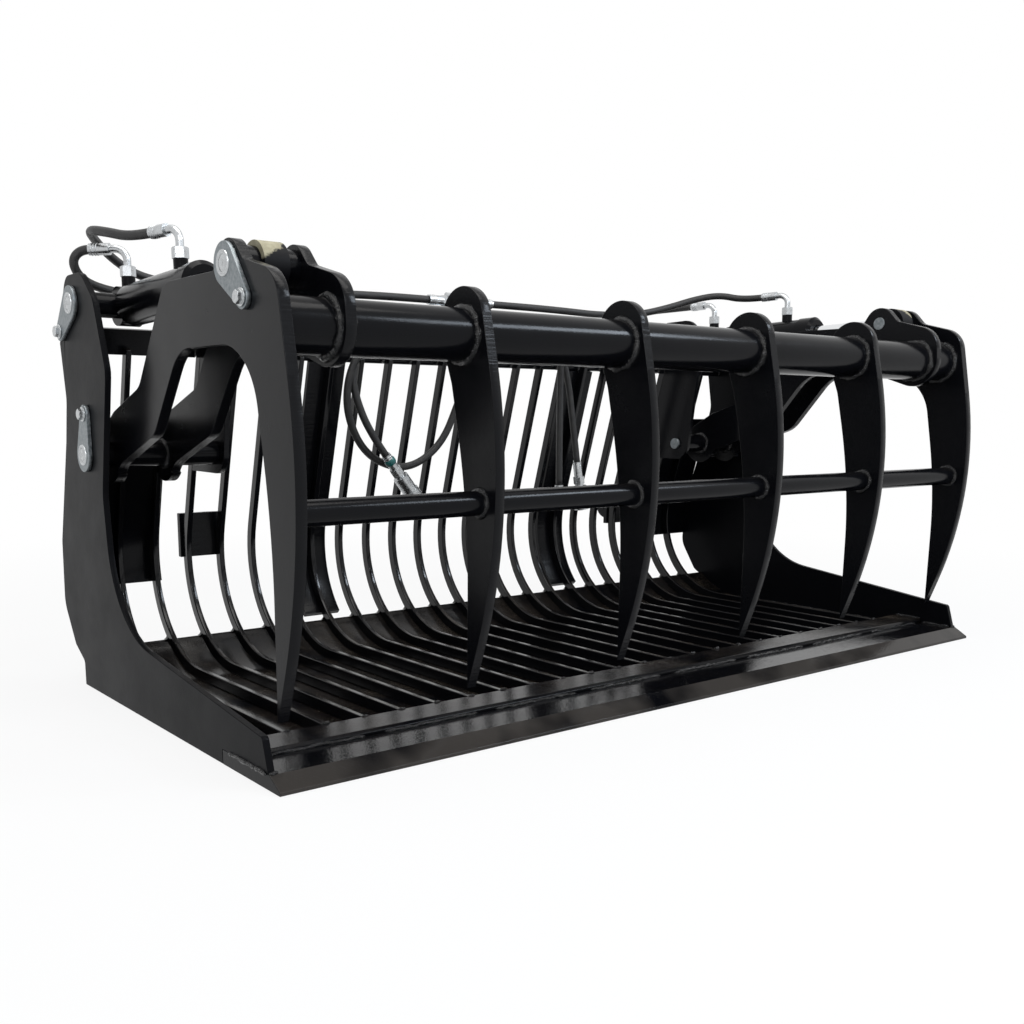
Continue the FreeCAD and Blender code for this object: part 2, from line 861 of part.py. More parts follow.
def arm_head_wheels():
    """Pivot lobe, top edge, ear and shoulder of an arm, from the pivot forward."""
    top = size("arm_top")
    lobe = size("pivot_lobe_radius")
    pin_y, pin_z = size("upper_pin_depth"), size("upper_pin_height")
    corners = rounded([
        (size("pivot_depth"), size("pivot_height") + lobe, 0),
        (size("arm_end_depth"), size("arm_end_height"), size("arm_end_radius")),
        (size("arm_dip_depth"), size("arm_dip_height"), size("arm_dip_radius")),
        (size("arm_brow_depth"), top, size("arm_brow_radius")),
        (size("arm_ear_depth"), top, 0),
    ])[1:-1]
    return [
        (size("pivot_depth"), size("pivot_height"), lobe),
        *corners,
        (pin_y + size("ear_back_reach"), top + size("ear_back_rise"),
         -size("ear_back_radius")),
        (pin_y, pin_z, size("ear_radius")),
        (pin_y - size("ear_front_reach"), pin_z + size("ear_front_rise"),
         -size("ear_front_radius")),
        (size("tine_lobe_depth"), size("tine_lobe_height"), size("inner_lobe_radius")),
    ]


def end_tine(side, name):
    """Outer tine cut in one plate with the arm back to the pivot and the cylinder ear."""
    wheels = [
        (size("tine_tip_depth"), size("tine_tip_height"), 0),
        tine_back_wheel(),
        *arch_wheels(),
        *arm_head_wheels(),
        tine_front_wheel(),
    ]
    across = near_face(side, "end_tine_outer", "tine_thickness")
    side_plate_body("end_tine_" + name, wheels, "tine_thickness", across, [
        ("pivot_depth", "pivot_height", "pivot_tube_diameter / 2 + seat_gap"),
        ("upper_pin_depth", "upper_pin_height", "pin_diameter / 2 + seat_gap"),
        flag_bolt_place("upper_pin") + ("flag_bolt_shank / 2 + seat_gap",),
    ])


def inner_arm(side, name):
    """Second plate of each arm, with the ear and no tine."""
    wheels = [
        (size("torque_tube_depth"), size("torque_tube_height"), size("inner_lobe_radius")),
        *arch_wheels(),
        *arm_head_wheels(),
    ]
    across = near_face(side, "inner_arm_outer", "tine_thickness")
    side_plate_body("inner_arm_" + name, wheels, "tine_thickness", across, [
        ("torque_tube_depth", "torque_tube_height", tube_hole),
        ("pivot_depth", "pivot_height", "pivot_tube_diameter / 2 + seat_gap"),
        ("upper_pin_depth", "upper_pin_height", "pin_diameter / 2 + seat_gap"),
    ])


def middle_tines():
    for number in range(1, int(size("tine_count")) - 1):
        across = "tine_pitch * (%d - (tine_count - 1) / 2) - tine_thickness / 2" % number
        side_plate_body("tine_%d" % number, tine_wheels(), "tine_thickness", across, [
            ("torque_tube_depth", "torque_tube_height", tube_hole),
            ("lower_tube_depth", "lower_tube_height", lower_hole),
        ])


def grapple_tubes():
    inside = "end_tine_outer - tine_thickness - seat_gap"
    for name in ("torque_tube", "lower_tube"):
        outer = name + "_diameter / 2"
        sleeve(name, name + "_depth", name + "_height", outer,
               "%s - %s_wall" % (outer, name), "-(%s)" % inside, "2 * (%s)" % inside)
    outer_end = "overall_width / 2 - side_plate_thickness - tube_end_gap"
    inner_end = "bar_pitch * inner_plate_offset + bar_width / 2 + tube_end_gap"
    length = "(%s) - (%s)" % (outer_end, inner_end)
    for side, name in SIDES:
        sleeve("pivot_tube_" + name, "pivot_depth", "pivot_height", "pivot_tube_diameter / 2",
               "pin_diameter / 2 + pin_running_gap", near_face(side, outer_end, length), length)


def spacer_rings():
    """Rings that centre the rod eye and the barrel eye on their pins."""
    clear = "seat_gap"
    eye = "cylinder_offset + rod_eye_width / 2 + 2 * seat_gap"
    eye_inner = "cylinder_offset - rod_eye_width / 2 - 2 * seat_gap"
    arm_inside = "end_tine_outer - tine_thickness - %s" % clear
    far_arm = "inner_arm_outer + %s" % clear
    plate_inside = "overall_width / 2 - side_plate_thickness - %s" % clear
    hinge_inside = "bar_pitch * inner_plate_offset + bar_width / 2 + %s" % clear
    ends = {
        "rod_eye_spacer": ("upper_pin", ((eye, arm_inside), (far_arm, eye_inner)),
                           size("rod_spacer_radius")),
        "barrel_eye_spacer": ("base_pin", ((eye, plate_inside), (hinge_inside, eye_inner)),
                              size("barrel_spacer_radius")),
    }
    for label, (pin, spans, radius) in ends.items():
        solids = []
        for side, name in SIDES:
            for low, high in spans:
                first, last = sorted((side * worth(low), side * worth(high)))
                base = FreeCAD.Vector(first, worth(pin + "_depth - overall_depth / 2"),
                                      worth(pin + "_height"))
                way = FreeCAD.Vector(1, 0, 0)
                outer = Part.makeCylinder(radius, last - first, base, way)
                bore = worth("pin_diameter / 2 + seat_gap")
                solids.append(outer.cut(Part.makeCylinder(bore, last - first, base, way)))
        loose(label + "s", solids)


# Hydraulic cylinders, drawn along their own axis from the base pin to the rod eye

stroke_line = (
    size("base_pin_depth") - size("upper_pin_depth"),
    size("upper_pin_height") - size("base_pin_height"),
)
pin_to_pin = math.hypot(*stroke_line)
cylinder_tilt = math.degrees(math.atan2(stroke_line[1], stroke_line[0]))


def along_cylinder(body, side):
    """Turns a piece drawn along +X so that it lies on the cylinder's axis."""
    towards = FreeCAD.Vector(0, -stroke_line[0], stroke_line[1])
    across = FreeCAD.Vector(1, 0, 0)
    turn = FreeCAD.Rotation(towards, across, towards.cross(across), "XYZ")
    body.Placement = FreeCAD.Placement(FreeCAD.Vector(), turn)
    offset = "cylinder_offset" if side == RIGHT else "-cylinder_offset"
    place(body, offset, "base_pin_depth - overall_depth / 2", "base_pin_height")


def turned(body, name, points):
    """Solid of revolution about the body's X axis from half a section."""
    sketch = sketch_in(body, "XZ_Plane", name)
    sketch.addGeometry(belt([(x, z, 0) for x, z in points]), False)
    spin = body.newObject("PartDesign::Revolution", body.Label + "_" + name + "_spin")
    spin.Profile = sketch
    spin.ReferenceAxis = (sketch, ["H_Axis"])
    spin.Angle = 360
    return spin


def cylinder_barrel(side, name):
    """Steel tube closed at the base and welded to a round eye."""
    outer, bore = size("barrel_diameter") / 2, size("barrel_bore") / 2
    base, length = size("barrel_base"), size("barrel_length")
    floor = base + size("barrel_bottom")
    body = new_body("cylinder_barrel_" + name)
    turned(body, "tube", [
        (base, 0),
        (floor, 0),
        (floor, bore),
        (length, bore),
        (length, outer),
        (base + size("barrel_chamfer"), outer),
        (base, outer - size("barrel_chamfer")),
    ])
    eye = sketch_in(body, "XZ_Plane", "eye")
    ring(eye, "0", "0", "barrel_eye_radius")
    pad(body, eye, "barrel_eye_width", "base_eye", both_ways=True)
    ports = sketch_in(body, "XY_Plane", "ports")
    for port in ("base_port", "rod_port"):
        ring(ports, port, "0", "port_diameter / 2")
    bosses = pad(body, ports, "barrel_diameter / 2 + port_height", "port_bosses")
    doc.recompute()
    hollow = sketch_in(body, "XZ_Plane", "hollow")
    hollow.addGeometry(belt([
        (floor, 0, 0),
        (length, 0, 0),
        (length, bore, 0),
        (floor, bore, 0),
    ]), False)
    groove = body.newObject("PartDesign::Groove", body.Label + "_bore")
    groove.Profile = hollow
    groove.ReferenceAxis = (hollow, ["H_Axis"])
    groove.Angle = 360
    doc.recompute()
    bore_sketch = sketch_in(body, "XZ_Plane", "pin_bore")
    ring(bore_sketch, "0", "0", "pin_diameter / 2 + pin_running_gap")
    pin_bore = cut(body, bore_sketch, "barrel_eye_width + 2", "pin_bore_cut")
    pin_bore.Midplane = True
    along_cylinder(body, side)


def cylinder_gland(side, name):
    """Head that closes the barrel round the rod, with a spigot inside the bore."""
    bore, outer = size("barrel_bore") / 2, size("gland_diameter") / 2
    rod = size("rod_diameter") / 2 + size("pin_running_gap")
    start = size("barrel_length") + size("seat_gap")
    end = start + size("gland_length")
    lip, chamfer = size("gland_lip"), size("gland_chamfer")
    body = new_body("cylinder_gland_" + name)
    turned(body, "head", [
        (start - size("gland_spigot"), rod),
        (end - lip, rod),
        (end, rod + lip),
        (end, outer - chamfer),
        (end - chamfer, outer),
        (start, outer),
        (start, bore - size("seat_gap")),
        (start - size("gland_spigot"), bore - size("seat_gap")),
    ])
    along_cylinder(body, side)


def cylinder_rod(side, name):
    """Bright rod with a bored eye that has play round the upper pin."""
    radius = size("rod_diameter") / 2
    start = size("piston_back") + size("piston_length") - size("rod_seat")
    end = pin_to_pin - size("rod_eye_radius") + size("rod_seat")
    body = new_body("cylinder_rod_" + name)
    turned(body, "shaft", [
        (start, 0),
        (end, 0),
        (end, radius),
        (start, radius),
    ])
    eye = sketch_in(body, "XZ_Plane", "eye")
    eye.addGeometry(Part.Circle(FreeCAD.Vector(pin_to_pin, 0, 0), FreeCAD.Vector(0, 0, 1),
                                size("rod_eye_radius")), False)
    eye.addGeometry(Part.Circle(FreeCAD.Vector(pin_to_pin, 0, 0), FreeCAD.Vector(0, 0, 1),
                                worth("pin_diameter / 2 + rod_eye_clearance")), False)
    pad(body, eye, "rod_eye_width", "rod_eye", both_ways=True)
    along_cylinder(body, side)


def cylinder_piston(side, name):
    outer = size("barrel_bore") / 2 - size("piston_gap")
    start = size("piston_back")
    end = start + size("piston_length")
    rod = size("rod_diameter") / 2
    nose = end - size("rod_seat") - size("seat_gap")
    body = new_body("cylinder_piston_" + name)
    turned(body, "disc", [
        (start, 0),
        (nose, 0),
        (nose, rod + size("seat_gap")),
        (end, rod + size("seat_gap")),
        (end, outer),
        (start, outer),
    ])
    along_cylinder(body, side)


ELBOW_TURN = {
    ("left", "rod_port"): -16.0,
    ("left", "base_port"): -48.0,
    ("right", "rod_port"): -8.0,
    ("right", "base_port"): -8.0,
}


def fitting(foot, way, width, out=None):
    """Hexagon nut on a foot, with a crimped ferrule on its own line or after an elbow.

    Gives the solid, the end of the ferrule and the way that the hose leaves it.
    """
    tall = size("fitting_height")
    nut = hexagon(width, tall, foot, way)
    crimp = size("ferrule_diameter") / 2
    if out is None:
        start = foot + way * (tall - size("fitting_overlap"))
        ferrule = Part.makeCylinder(crimp, size("ferrule_length"), start, way)
        end = start + way * size("ferrule_length")
        return nut.fuse(ferrule).removeSplitter().Solids[0], end, way
    bend = size("elbow_radius")
    begin = foot + way * (tall - size("fitting_overlap"))
    rise_end = foot + way * (tall + size("elbow_rise"))
    centre = rise_end + out * bend
    bend_end = centre + way * bend
    last = bend_end + out * size("elbow_rise")
    path = Part.Wire([
        Part.LineSegment(begin, rise_end).toShape(),
        Part.Arc(rise_end, centre + (way - out) * (bend * math.sqrt(0.5)), bend_end).toShape(),
        Part.LineSegment(bend_end, last).toShape(),
    ])
    circle = Part.Circle(begin, way, size("elbow_diameter") / 2)
    pipe = path.makePipeShell([Part.Wire(circle.toShape())], True, True)
    ferrule = Part.makeCylinder(crimp, size("ferrule_length"), last, out)
    return (nut.fuse([pipe, ferrule]).removeSplitter().Solids[0],
            last + out * size("ferrule_length"), out)


hose_starts = {}


def cylinder_elbows(side, name):
    """Elbows on the barrel's ports, each with a nut below and a ferrule at the hose."""
    solids = []
    floor = size("barrel_diameter") / 2 + size("port_height") + size("seat_gap")
    up = FreeCAD.Vector(0, 0, 1)
    for port in ("base_port", "rod_port"):
        angle = math.radians(ELBOW_TURN[(name, port)])
        out = FreeCAD.Vector(-math.cos(angle), math.sin(angle), 0)
        foot = FreeCAD.Vector(size(port), 0, floor)
        solid, end, out = fitting(foot, up, size("nut_width"), out)
        solids.append(solid)
        hose_starts[(name, port)] = (end, out)
    item = loose("cylinder_elbows_" + name, solids)
    along_cylinder(item, side)
    doc.recompute()
    for port in ("base_port", "rod_port"):
        end, out = hose_starts[(name, port)]
        hose_starts[(name, port)] = (item.Placement.multVec(end),
                                     item.Placement.Rotation.multVec(out))


# Block that joins the hoses on the beam, hoses and quick couplers

def hose_block():
    """Steel block on the beam with two ports a side and three elbows in front."""
    deep, high = size("beam_thickness"), size("block_height")
    seat = size("beam_height") + size("seat_gap") / 3
    wide = size("block_width")
    middle = -size("block_centre")
    base_y, base_z = wall_point(rear, size("beam_bottom"))
    base_y -= size("overall_depth") / 2
    back = FreeCAD.Vector(0, math.cos(lean), math.sin(lean))
    rise = FreeCAD.Vector(0, -math.sin(lean), math.cos(lean))
    across = FreeCAD.Vector(1, 0, 0)
    foot = FreeCAD.Vector(middle - wide / 2, base_y, base_z) + rise * seat
    block = Part.makeBox(wide, deep, high)
    block.Placement = FreeCAD.Placement(foot, FreeCAD.Rotation(across, back, rise, "XYZ"))
    block = block.makeChamfer(size("block_chamfer"), block.Edges)
    solids = [block]
    for side, name in SIDES:
        for port, up in (("rod_port", size("block_high_port")),
                         ("base_port", size("block_low_port"))):
            face = foot + across * ((side + 1) * wide / 2) + back * (deep / 2) + rise * up
            solid, end, way = fitting(face, across * side, size("fitting_width"))
            solids.append(solid)
            hose_starts[(name, port, "block")] = (end, way)
    outlets = {-1: across * -1, 0: rise * -1, 1: across}
    for number, out in outlets.items():
        face = foot + across * (wide / 2 + number * size("front_port_pitch")) + rise * (high / 2)
        solid, end, way = fitting(face, back * -1, size("fitting_width"), out)
        solids.append(solid)
        hose_starts[("front", number)] = (end, way)
    loose("hose_block", solids)


# Routes of the hoses between their fittings, each point chosen by hand
CYLINDER_HOSES = {
    ("left", "rod_port"): [(-950, 216, 902), (-959, 284, 913), (-929, 346, 907), (-882, 380, 877),
                           (-822, 392, 846), (-735, 386, 834), (-600, 352, 830), (-440, 328, 833),
                           (-310, 312, 836)],
    ("left", "base_port"): [(-972, 344, 866), (-970, 348, 846), (-950, 354, 824),
                            (-907, 366, 812), (-835, 384, 806), (-740, 386, 804),
                            (-610, 358, 805), (-460, 330, 808), (-315, 317, 810)],
    ("right", "rod_port"): [(838, 215, 903), (788, 262, 892), (715, 300, 866), (610, 322, 842),
                            (460, 322, 834), (330, 313, 836), (215, 309, 837)],
    ("right", "base_port"): [(824, 470, 873), (736, 490, 848), (620, 445, 826), (480, 378, 812),
                             (335, 334, 809), (215, 319, 810)],
}
SUPPLY_HOSES = {
    "supply_hose_1": (-1, [(-268, 266, 786), (-332, 284, 734), (-362, 290, 662),
                           (-350, 290, 600), (-315, 290, 525), (-268, 290, 467)]),
    "supply_hose_2": (0, [(-50, 284, 600), (-92, 304, 485), (-190, 318, 425), (-305, 318, 462),
                          (-374, 296, 560), (-378, 276, 662), (-330, 250, 745),
                          (-230, 222, 775), (-75, 210, 780), (75, 216, 782), (198, 240, 776),
                          (268, 262, 728), (282, 276, 640), (288, 282, 506), (291, 282, 376)]),
    "supply_hose_3": (1, [(215, 262, 790), (285, 284, 738), (324, 290, 650), (344, 290, 541),
                          (363, 290, 437)]),
}


ARC_SHARE = 0.45


def hose(label, points):
    """Hose along straight runs, with an arc at each point as large as its runs allow."""
    points = [FreeCAD.Vector(*point) for point in points]
    runs = [(b - a).Length for a, b in zip(points, points[1:])]
    edges, radii, here = [], [], points[0]
    for i in range(1, len(points) - 1):
        coming = (points[i] - points[i - 1]).normalize()
        leaving = (points[i + 1] - points[i]).normalize()
        turn = coming.getAngle(leaving)
        reach = ARC_SHARE * min(runs[i - 1], runs[i])
        radius = reach / math.tan(turn / 2)
        start, end = points[i] - coming * reach, points[i] + leaving * reach
        inward = (leaving - coming).normalize()
        top = points[i] + inward * (radius / math.cos(turn / 2) - radius)
        edges.append(Part.LineSegment(here, start).toShape())
        edges.append(Part.Arc(start, top, end).toShape())
        radii.append(radius)
        here = end
    edges.append(Part.LineSegment(here, points[-1]).toShape())
    path = Part.Wire(edges)
    section = Part.Circle(points[0], points[1] - points[0], size("hose_diameter") / 2)
    tube = path.makePipeShell([Part.Wire(section.toShape())], True, False)
    share = tube.Volume / (math.pi * size("hose_diameter") ** 2 / 4 * path.Length)
    print("%s: %.0f mm long, volume %.4f of section times length, radii %s" % (
        label, path.Length, share, ", ".join("%.0f" % radius for radius in radii)))
    print("   route", ", ".join("(%.4f, %.4f, %.4f)" % tuple(c / 1000 for c in point)
                               for point in points))
    loose(label, [tube])


def cylinder_hoses():
    for (name, port), middle in CYLINDER_HOSES.items():
        lead = size("hose_lead") if port == "rod_port" or name == "right" else size("hose_fold")
        start, out = hose_starts[(name, port)]
        end, way = hose_starts[(name, port, "block")]
        hose("hose_%s_%s" % (name, port.split("_")[0]),
             [start, start + out * lead, *middle, end + way * size("hose_lead"), end])


def supply_hoses():
    """Three hoses from the elbows of the block, each down to its fitting."""
    for label, (number, route) in SUPPLY_HOSES.items():
        start, out = hose_starts[("front", number)]
        hose(label, [start, start + out * size("hose_lead"), *route])


def hose_end(route):
    """Last point of a route and the way that the hose arrives there."""
    end = FreeCAD.Vector(*route[-1])
    return end, (end - FreeCAD.Vector(*route[-2])).normalize()


def quick_coupler(label, route):
    """Ferrule, hexagon, sleeve and open collar on the end of a hose."""
    end, way = hose_end(route)
    crimp = Part.makeCylinder(size("ferrule_diameter") / 2, size("ferrule_length"), end, way)
    here = end + way * size("ferrule_length")
    nut = hexagon(size("nut_width"), size("fitting_height"), here, way)
    here = here + way * size("fitting_height")
    neck = Part.makeCylinder(size("coupler_neck") / 2, size("coupler_neck_length"), here, way)
    here = here + way * size("coupler_neck_length")
    body = Part.makeCylinder(size("coupler_diameter") / 2, size("coupler_length"), here, way)
    here = here + way * size("coupler_length")
    collar = Part.makeCylinder(size("coupler_collar_diameter") / 2,
                               size("coupler_collar_length"), here, way)
    open_end = here + way * size("coupler_collar_length")
    mouth = Part.makeCylinder(size("coupler_mouth") / 2, size("coupler_mouth_depth"),
                              open_end, way * -1)
    coupler = crimp.fuse([nut, neck, body, collar]).cut(mouth).removeSplitter()
    loose(label, [coupler.Solids[0]])


def hose_cap(label, route):
    """Ferrule closed by a hexagon cap on the end of a hose."""
    end, way = hose_end(route)
    length = size("fitting_height") - size("fitting_overlap") + size("ferrule_length")
    solid, end, way = fitting(end + way * length, way * -1, size("nut_width"))
    loose(label, [solid])


# Hitch on the back

def hitch_hook(side, name):
    """Hook plate behind the beam for the loader's upper cross bar, on a tall flat strip."""
    beam_back = rear + size("beam_thickness")
    step = size("seat_gap")
    hook_z = size("hook_height")
    hook_y = wall_point(beam_back, hook_z)[0] + size("hook_reach")
    radius, rim = size("hook_radius"), size("hook_rim")
    web, point = radius * 0.4, radius * 0.6
    low = size("beam_bottom") - step
    high = size("beam_bottom") + size("beam_height") - radius / 3
    strip_back = rear + size("hitch_strip_thickness")
    wheels = [
        (*wall_point(strip_back, size("hook_foot")), 0),
        (hook_y - radius - web, hook_z - 2.2 * radius, web),
        (hook_y - radius - web, hook_z - point, web),
        (hook_y, hook_z, -radius),
        (hook_y + radius + point, hook_z - radius - web / 2, web),
        (hook_y, hook_z, radius + rim),
        (*wall_point(beam_back + step, high), 0),
        (*wall_point(beam_back + step, low), 0),
        (*wall_point(strip_back, low), 0),
    ]
    start = turn_end(size("hitch_strip_turn"), -size("plate_leg"))
    strip = band(rear, strip_back, start, wall_end(low))
    middle = side * worth("bar_pitch * hook_bar")
    plates = []
    for outline, thick in ((wheels, size("hook_plate_thickness")),
                           (strip, size("hitch_strip_width"))):
        plates.append(standing(outline, thick, middle))
    loose("hitch_hook_" + name, [plates[0].fuse(plates[1]).removeSplitter().Solids[0]])


def standing(wheels, thick, middle, hole=None):
    """Plate with an outline in side view, centred on a place across the bucket."""
    face = Part.Face(Part.Wire(Part.__sortEdges__([piece.toShape() for piece in belt(wheels)])))
    plate = face.extrude(FreeCAD.Vector(0, 0, thick))
    if hole:
        y, z, radius = hole
        plate = plate.cut(Part.makeCylinder(radius, thick, FreeCAD.Vector(y, z, 0)))
    turn = FreeCAD.Rotation(FreeCAD.Vector(0, 1, 0), FreeCAD.Vector(0, 0, 1),
                            FreeCAD.Vector(1, 0, 0), "XYZ")
    start = FreeCAD.Vector(middle - thick / 2, -size("overall_depth") / 2, 0)
    plate.Placement = FreeCAD.Placement(start, turn)
    return plate


def hitch_lug(side, name):
    """Eye low on the back for the loader's locking pin, on a base plate over two bars."""
    eye_y, eye_z = size("lug_depth"), size("lug_height")
    high = size("lug_base_height")
    base_front = bend_centre[0] + size("bend_radius") + rear
    base_back = base_front + size("lug_base_thickness")
    middle = side * worth("bar_pitch * lug_bar")
    eye = standing([
        (base_back, eye_z - high / 2, 0),
        (eye_y, eye_z, size("lug_radius")),
        (base_back, eye_z + high / 2, 0),
    ], size("lug_thickness"), middle, (eye_y, eye_z, size("lug_pin_diameter") / 2))
    base = standing([
        (base_front, eye_z - high / 2, 0),
        (base_back, eye_z - high / 2, 0),
        (base_back, eye_z + high / 2, 0),
        (base_front, eye_z + high / 2, 0),
    ], size("lug_base_width"), middle)
    loose("hitch_lug_" + name, [base.fuse(eye).removeSplitter().Solids[0]])


# The whole bucket

cutting_edge()
front_strip()
floor_plate()
grid_bars()
top_beam()
beam_end_plates()
pins = {
    "pivot_pin": ("pivot", "overall_width / 2",
                  "bar_pitch * inner_plate_offset - bar_width / 2 - pin_overhang"),
    "base_pin": ("base_pin", "overall_width / 2",
                 "bar_pitch * inner_plate_offset - bar_width / 2 - pin_overhang"),
    "upper_pin": ("upper_pin", "end_tine_outer", "inner_arm_outer - tine_thickness - tube_end_gap"),
}
for side, name in SIDES:
    side_plate(side, name)
    inner_hinge_plate(side, name)
    corner_panel(side, name)
    end_tine(side, name)
    inner_arm(side, name)
    for pin, (point, face, inner_end) in pins.items():
        pin_with_flag(pin + "_" + name, point, side, face, inner_end)
    cylinder_barrel(side, name)
    cylinder_gland(side, name)
    cylinder_rod(side, name)
    cylinder_piston(side, name)
    cylinder_elbows(side, name)
    hitch_hook(side, name)
    hitch_lug(side, name)
middle_tines()
grapple_tubes()
spacer_rings()
hose_block()
cylinder_hoses()
supply_hoses()
quick_coupler("quick_coupler_1", SUPPLY_HOSES["supply_hose_1"][1])
hose_cap("hose_cap", SUPPLY_HOSES["supply_hose_2"][1])
quick_coupler("quick_coupler_2", SUPPLY_HOSES["supply_hose_3"][1])
flag_bolts("side_plate_flag_bolts", [(side, pin) for side in (LEFT, RIGHT)
                                     for pin in ("pivot", "base_pin")],
           "overall_width / 2", "side_plate_thickness + seat_gap")
flag_bolts("arm_flag_bolts", [(LEFT, "upper_pin"), (RIGHT, "upper_pin")],
           "end_tine_outer", "tine_thickness + seat_gap")

doc.recompute()

for thing in doc.Objects:
    if "Invalid" in thing.State or "Error" in thing.State:
        raise RuntimeError("%s did not recompute: %s" % (thing.Label, thing.getStatusString()))
for part in subparts:
    if part.Shape.isNull() or not part.Shape.isValid():
        raise RuntimeError("%s has no valid shape" % part.Label)

os.makedirs("parts", exist_ok=True)
for part in subparts:
    part.Shape.exportStep("parts/%s.step" % part.Label)
    box = part.Shape.BoundBox
    print("%-26s %2d solids  x %7.1f %7.1f  y %7.1f %7.1f  z %6.1f %6.1f" % (
        part.Label, len(part.Shape.Solids), box.XMin, box.XMax, box.YMin, box.YMax,
        box.ZMin, box.ZMax))
print(len(subparts), "sub-parts")
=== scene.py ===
# %% [markdown]
# # A rubble grapple bucket, dressed for its picture
#
# The part comes from CAD as plain solids. This file gives them paint, plating, welds,
# hoses and light. Every length is in metres and every place is in the part's own frame:
# X across the bucket, Y from the cutting edge to the back, Z up.

import math

import bpy
from mathutils import Matrix, Vector, noise
from mathutils.bvhtree import BVHTree


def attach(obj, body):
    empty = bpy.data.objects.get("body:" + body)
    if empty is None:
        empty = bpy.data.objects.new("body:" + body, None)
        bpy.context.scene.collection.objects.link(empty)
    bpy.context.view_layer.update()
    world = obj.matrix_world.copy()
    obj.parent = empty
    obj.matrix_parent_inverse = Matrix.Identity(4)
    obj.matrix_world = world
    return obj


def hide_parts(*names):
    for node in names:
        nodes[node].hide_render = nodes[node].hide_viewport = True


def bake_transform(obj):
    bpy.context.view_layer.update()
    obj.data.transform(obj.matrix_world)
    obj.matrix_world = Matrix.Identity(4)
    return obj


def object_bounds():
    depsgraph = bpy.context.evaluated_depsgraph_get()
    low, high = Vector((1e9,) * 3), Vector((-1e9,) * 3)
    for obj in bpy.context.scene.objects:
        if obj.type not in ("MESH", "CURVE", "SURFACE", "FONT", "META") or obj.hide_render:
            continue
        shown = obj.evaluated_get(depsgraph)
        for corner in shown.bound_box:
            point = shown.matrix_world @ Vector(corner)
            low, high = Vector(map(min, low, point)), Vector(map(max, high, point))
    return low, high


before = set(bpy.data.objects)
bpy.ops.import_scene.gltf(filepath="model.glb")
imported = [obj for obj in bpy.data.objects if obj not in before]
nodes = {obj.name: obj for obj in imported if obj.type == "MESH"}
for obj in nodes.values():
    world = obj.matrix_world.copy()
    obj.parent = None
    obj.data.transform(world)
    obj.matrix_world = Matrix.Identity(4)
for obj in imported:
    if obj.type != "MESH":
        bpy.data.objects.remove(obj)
cad_low, cad_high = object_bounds()
print("nodes", len(nodes), "box", [round(v, 3) for v in (*cad_low, *cad_high)])

# %% [markdown]
# ## The camera
#
# A photograph's camera has a place, a direction and a lens. They were worked out from
# the straight edges of the bucket. The picture was cropped, so its centre isn't where
# the lens pointed, and the camera's shift makes up for that. Tilting the camera instead
# would bend the uprights the wrong way.

# %% Camera
IMAGE = 1024
FOCAL_PIXELS = 1088.4
YAW, PITCH, ROLL = math.radians(37.34), math.radians(11.131), math.radians(0.323)
AXIS_PIXEL = (455.3, 625.2)
CAMERA_PLACE = (-1.736, -1.9138, 0.5719)

lens = bpy.data.cameras.new("camera")
lens.sensor_width = 36
lens.lens = FOCAL_PIXELS * lens.sensor_width / IMAGE
lens.shift_x = (IMAGE / 2 - AXIS_PIXEL[0]) / IMAGE
lens.shift_y = (AXIS_PIXEL[1] - IMAGE / 2) / IMAGE
lens.clip_start = 0.05
lens.clip_end = 60
camera = bpy.data.objects.new("camera", lens)
bpy.context.scene.collection.objects.link(camera)
ahead = Vector((math.sin(YAW) * math.cos(PITCH), math.cos(YAW) * math.cos(PITCH),
                -math.sin(PITCH)))
level = Vector((math.cos(YAW), -math.sin(YAW), 0))
over = level.cross(ahead)
right = level * math.cos(ROLL) + over * math.sin(ROLL)
top = over * math.cos(ROLL) - level * math.sin(ROLL)
turn = Matrix((right, top, -ahead)).transposed().to_4x4()
camera.matrix_world = Matrix.Translation(CAMERA_PLACE) @ turn
bpy.context.scene.camera = camera
print("lens", round(lens.lens, 2), "mm, shift", round(lens.shift_x, 4), round(lens.shift_y, 4))

# %% [markdown]
# ## Helpers for node trees
#
# A world, a material and a node group are all trees of nodes. Written out in full, each
# node takes three or four lines. These functions make a node, feed its inputs and hand
# back its output, so that a tree reads like the sum that it works out.

# %% Nodes and sums
def feed(tree, socket, value):
    """Links a socket to another node's output, or sets it. A colour has three numbers."""
    if isinstance(value, bpy.types.NodeSocket):
        tree.links.new(value, socket)
    elif socket.type == "RGBA":
        socket.default_value = (*value, 1)
    else:
        socket.default_value = value


def add(tree, kind, operation=None, **values):
    """A node in a tree; values are its inputs, by name with _ for a space, or by n0, n1."""
    node = tree.nodes.new(kind)
    if operation:
        node.operation = operation
    for key, value in values.items():
        by_number = key[0] == "n" and key[1:].isdigit()
        feed(tree, node.inputs[int(key[1:]) if by_number else key.replace("_", " ")], value)
    return node


def math_node(tree, operation, first, second=0.0, clamp=False):
    """The result of one sum on two numbers."""
    node = add(tree, "ShaderNodeMath", operation, n0=first, n1=second)
    node.use_clamp = clamp
    return node.outputs[0]


def noise_node(tree, place, scale, detail=2.0, roughness=0.5):
    """Cloudy noise. A larger scale makes smaller clouds, and detail adds finer ones."""
    node = add(tree, "ShaderNodeTexNoise", Vector=place, Scale=scale, Detail=detail,
               Roughness=roughness)
    return node.outputs["Fac"]


def ramp(tree, value, low, high):
    """Value carried from low..high to 0..1, held at both ends."""
    node = add(tree, "ShaderNodeMapRange", Value=value, From_Min=low, From_Max=high)
    return node.outputs["Result"]


# %% Blends
BLEND_SOCKETS = {"RGBA": (6, 7, 2), "FLOAT": (2, 3, 0)}


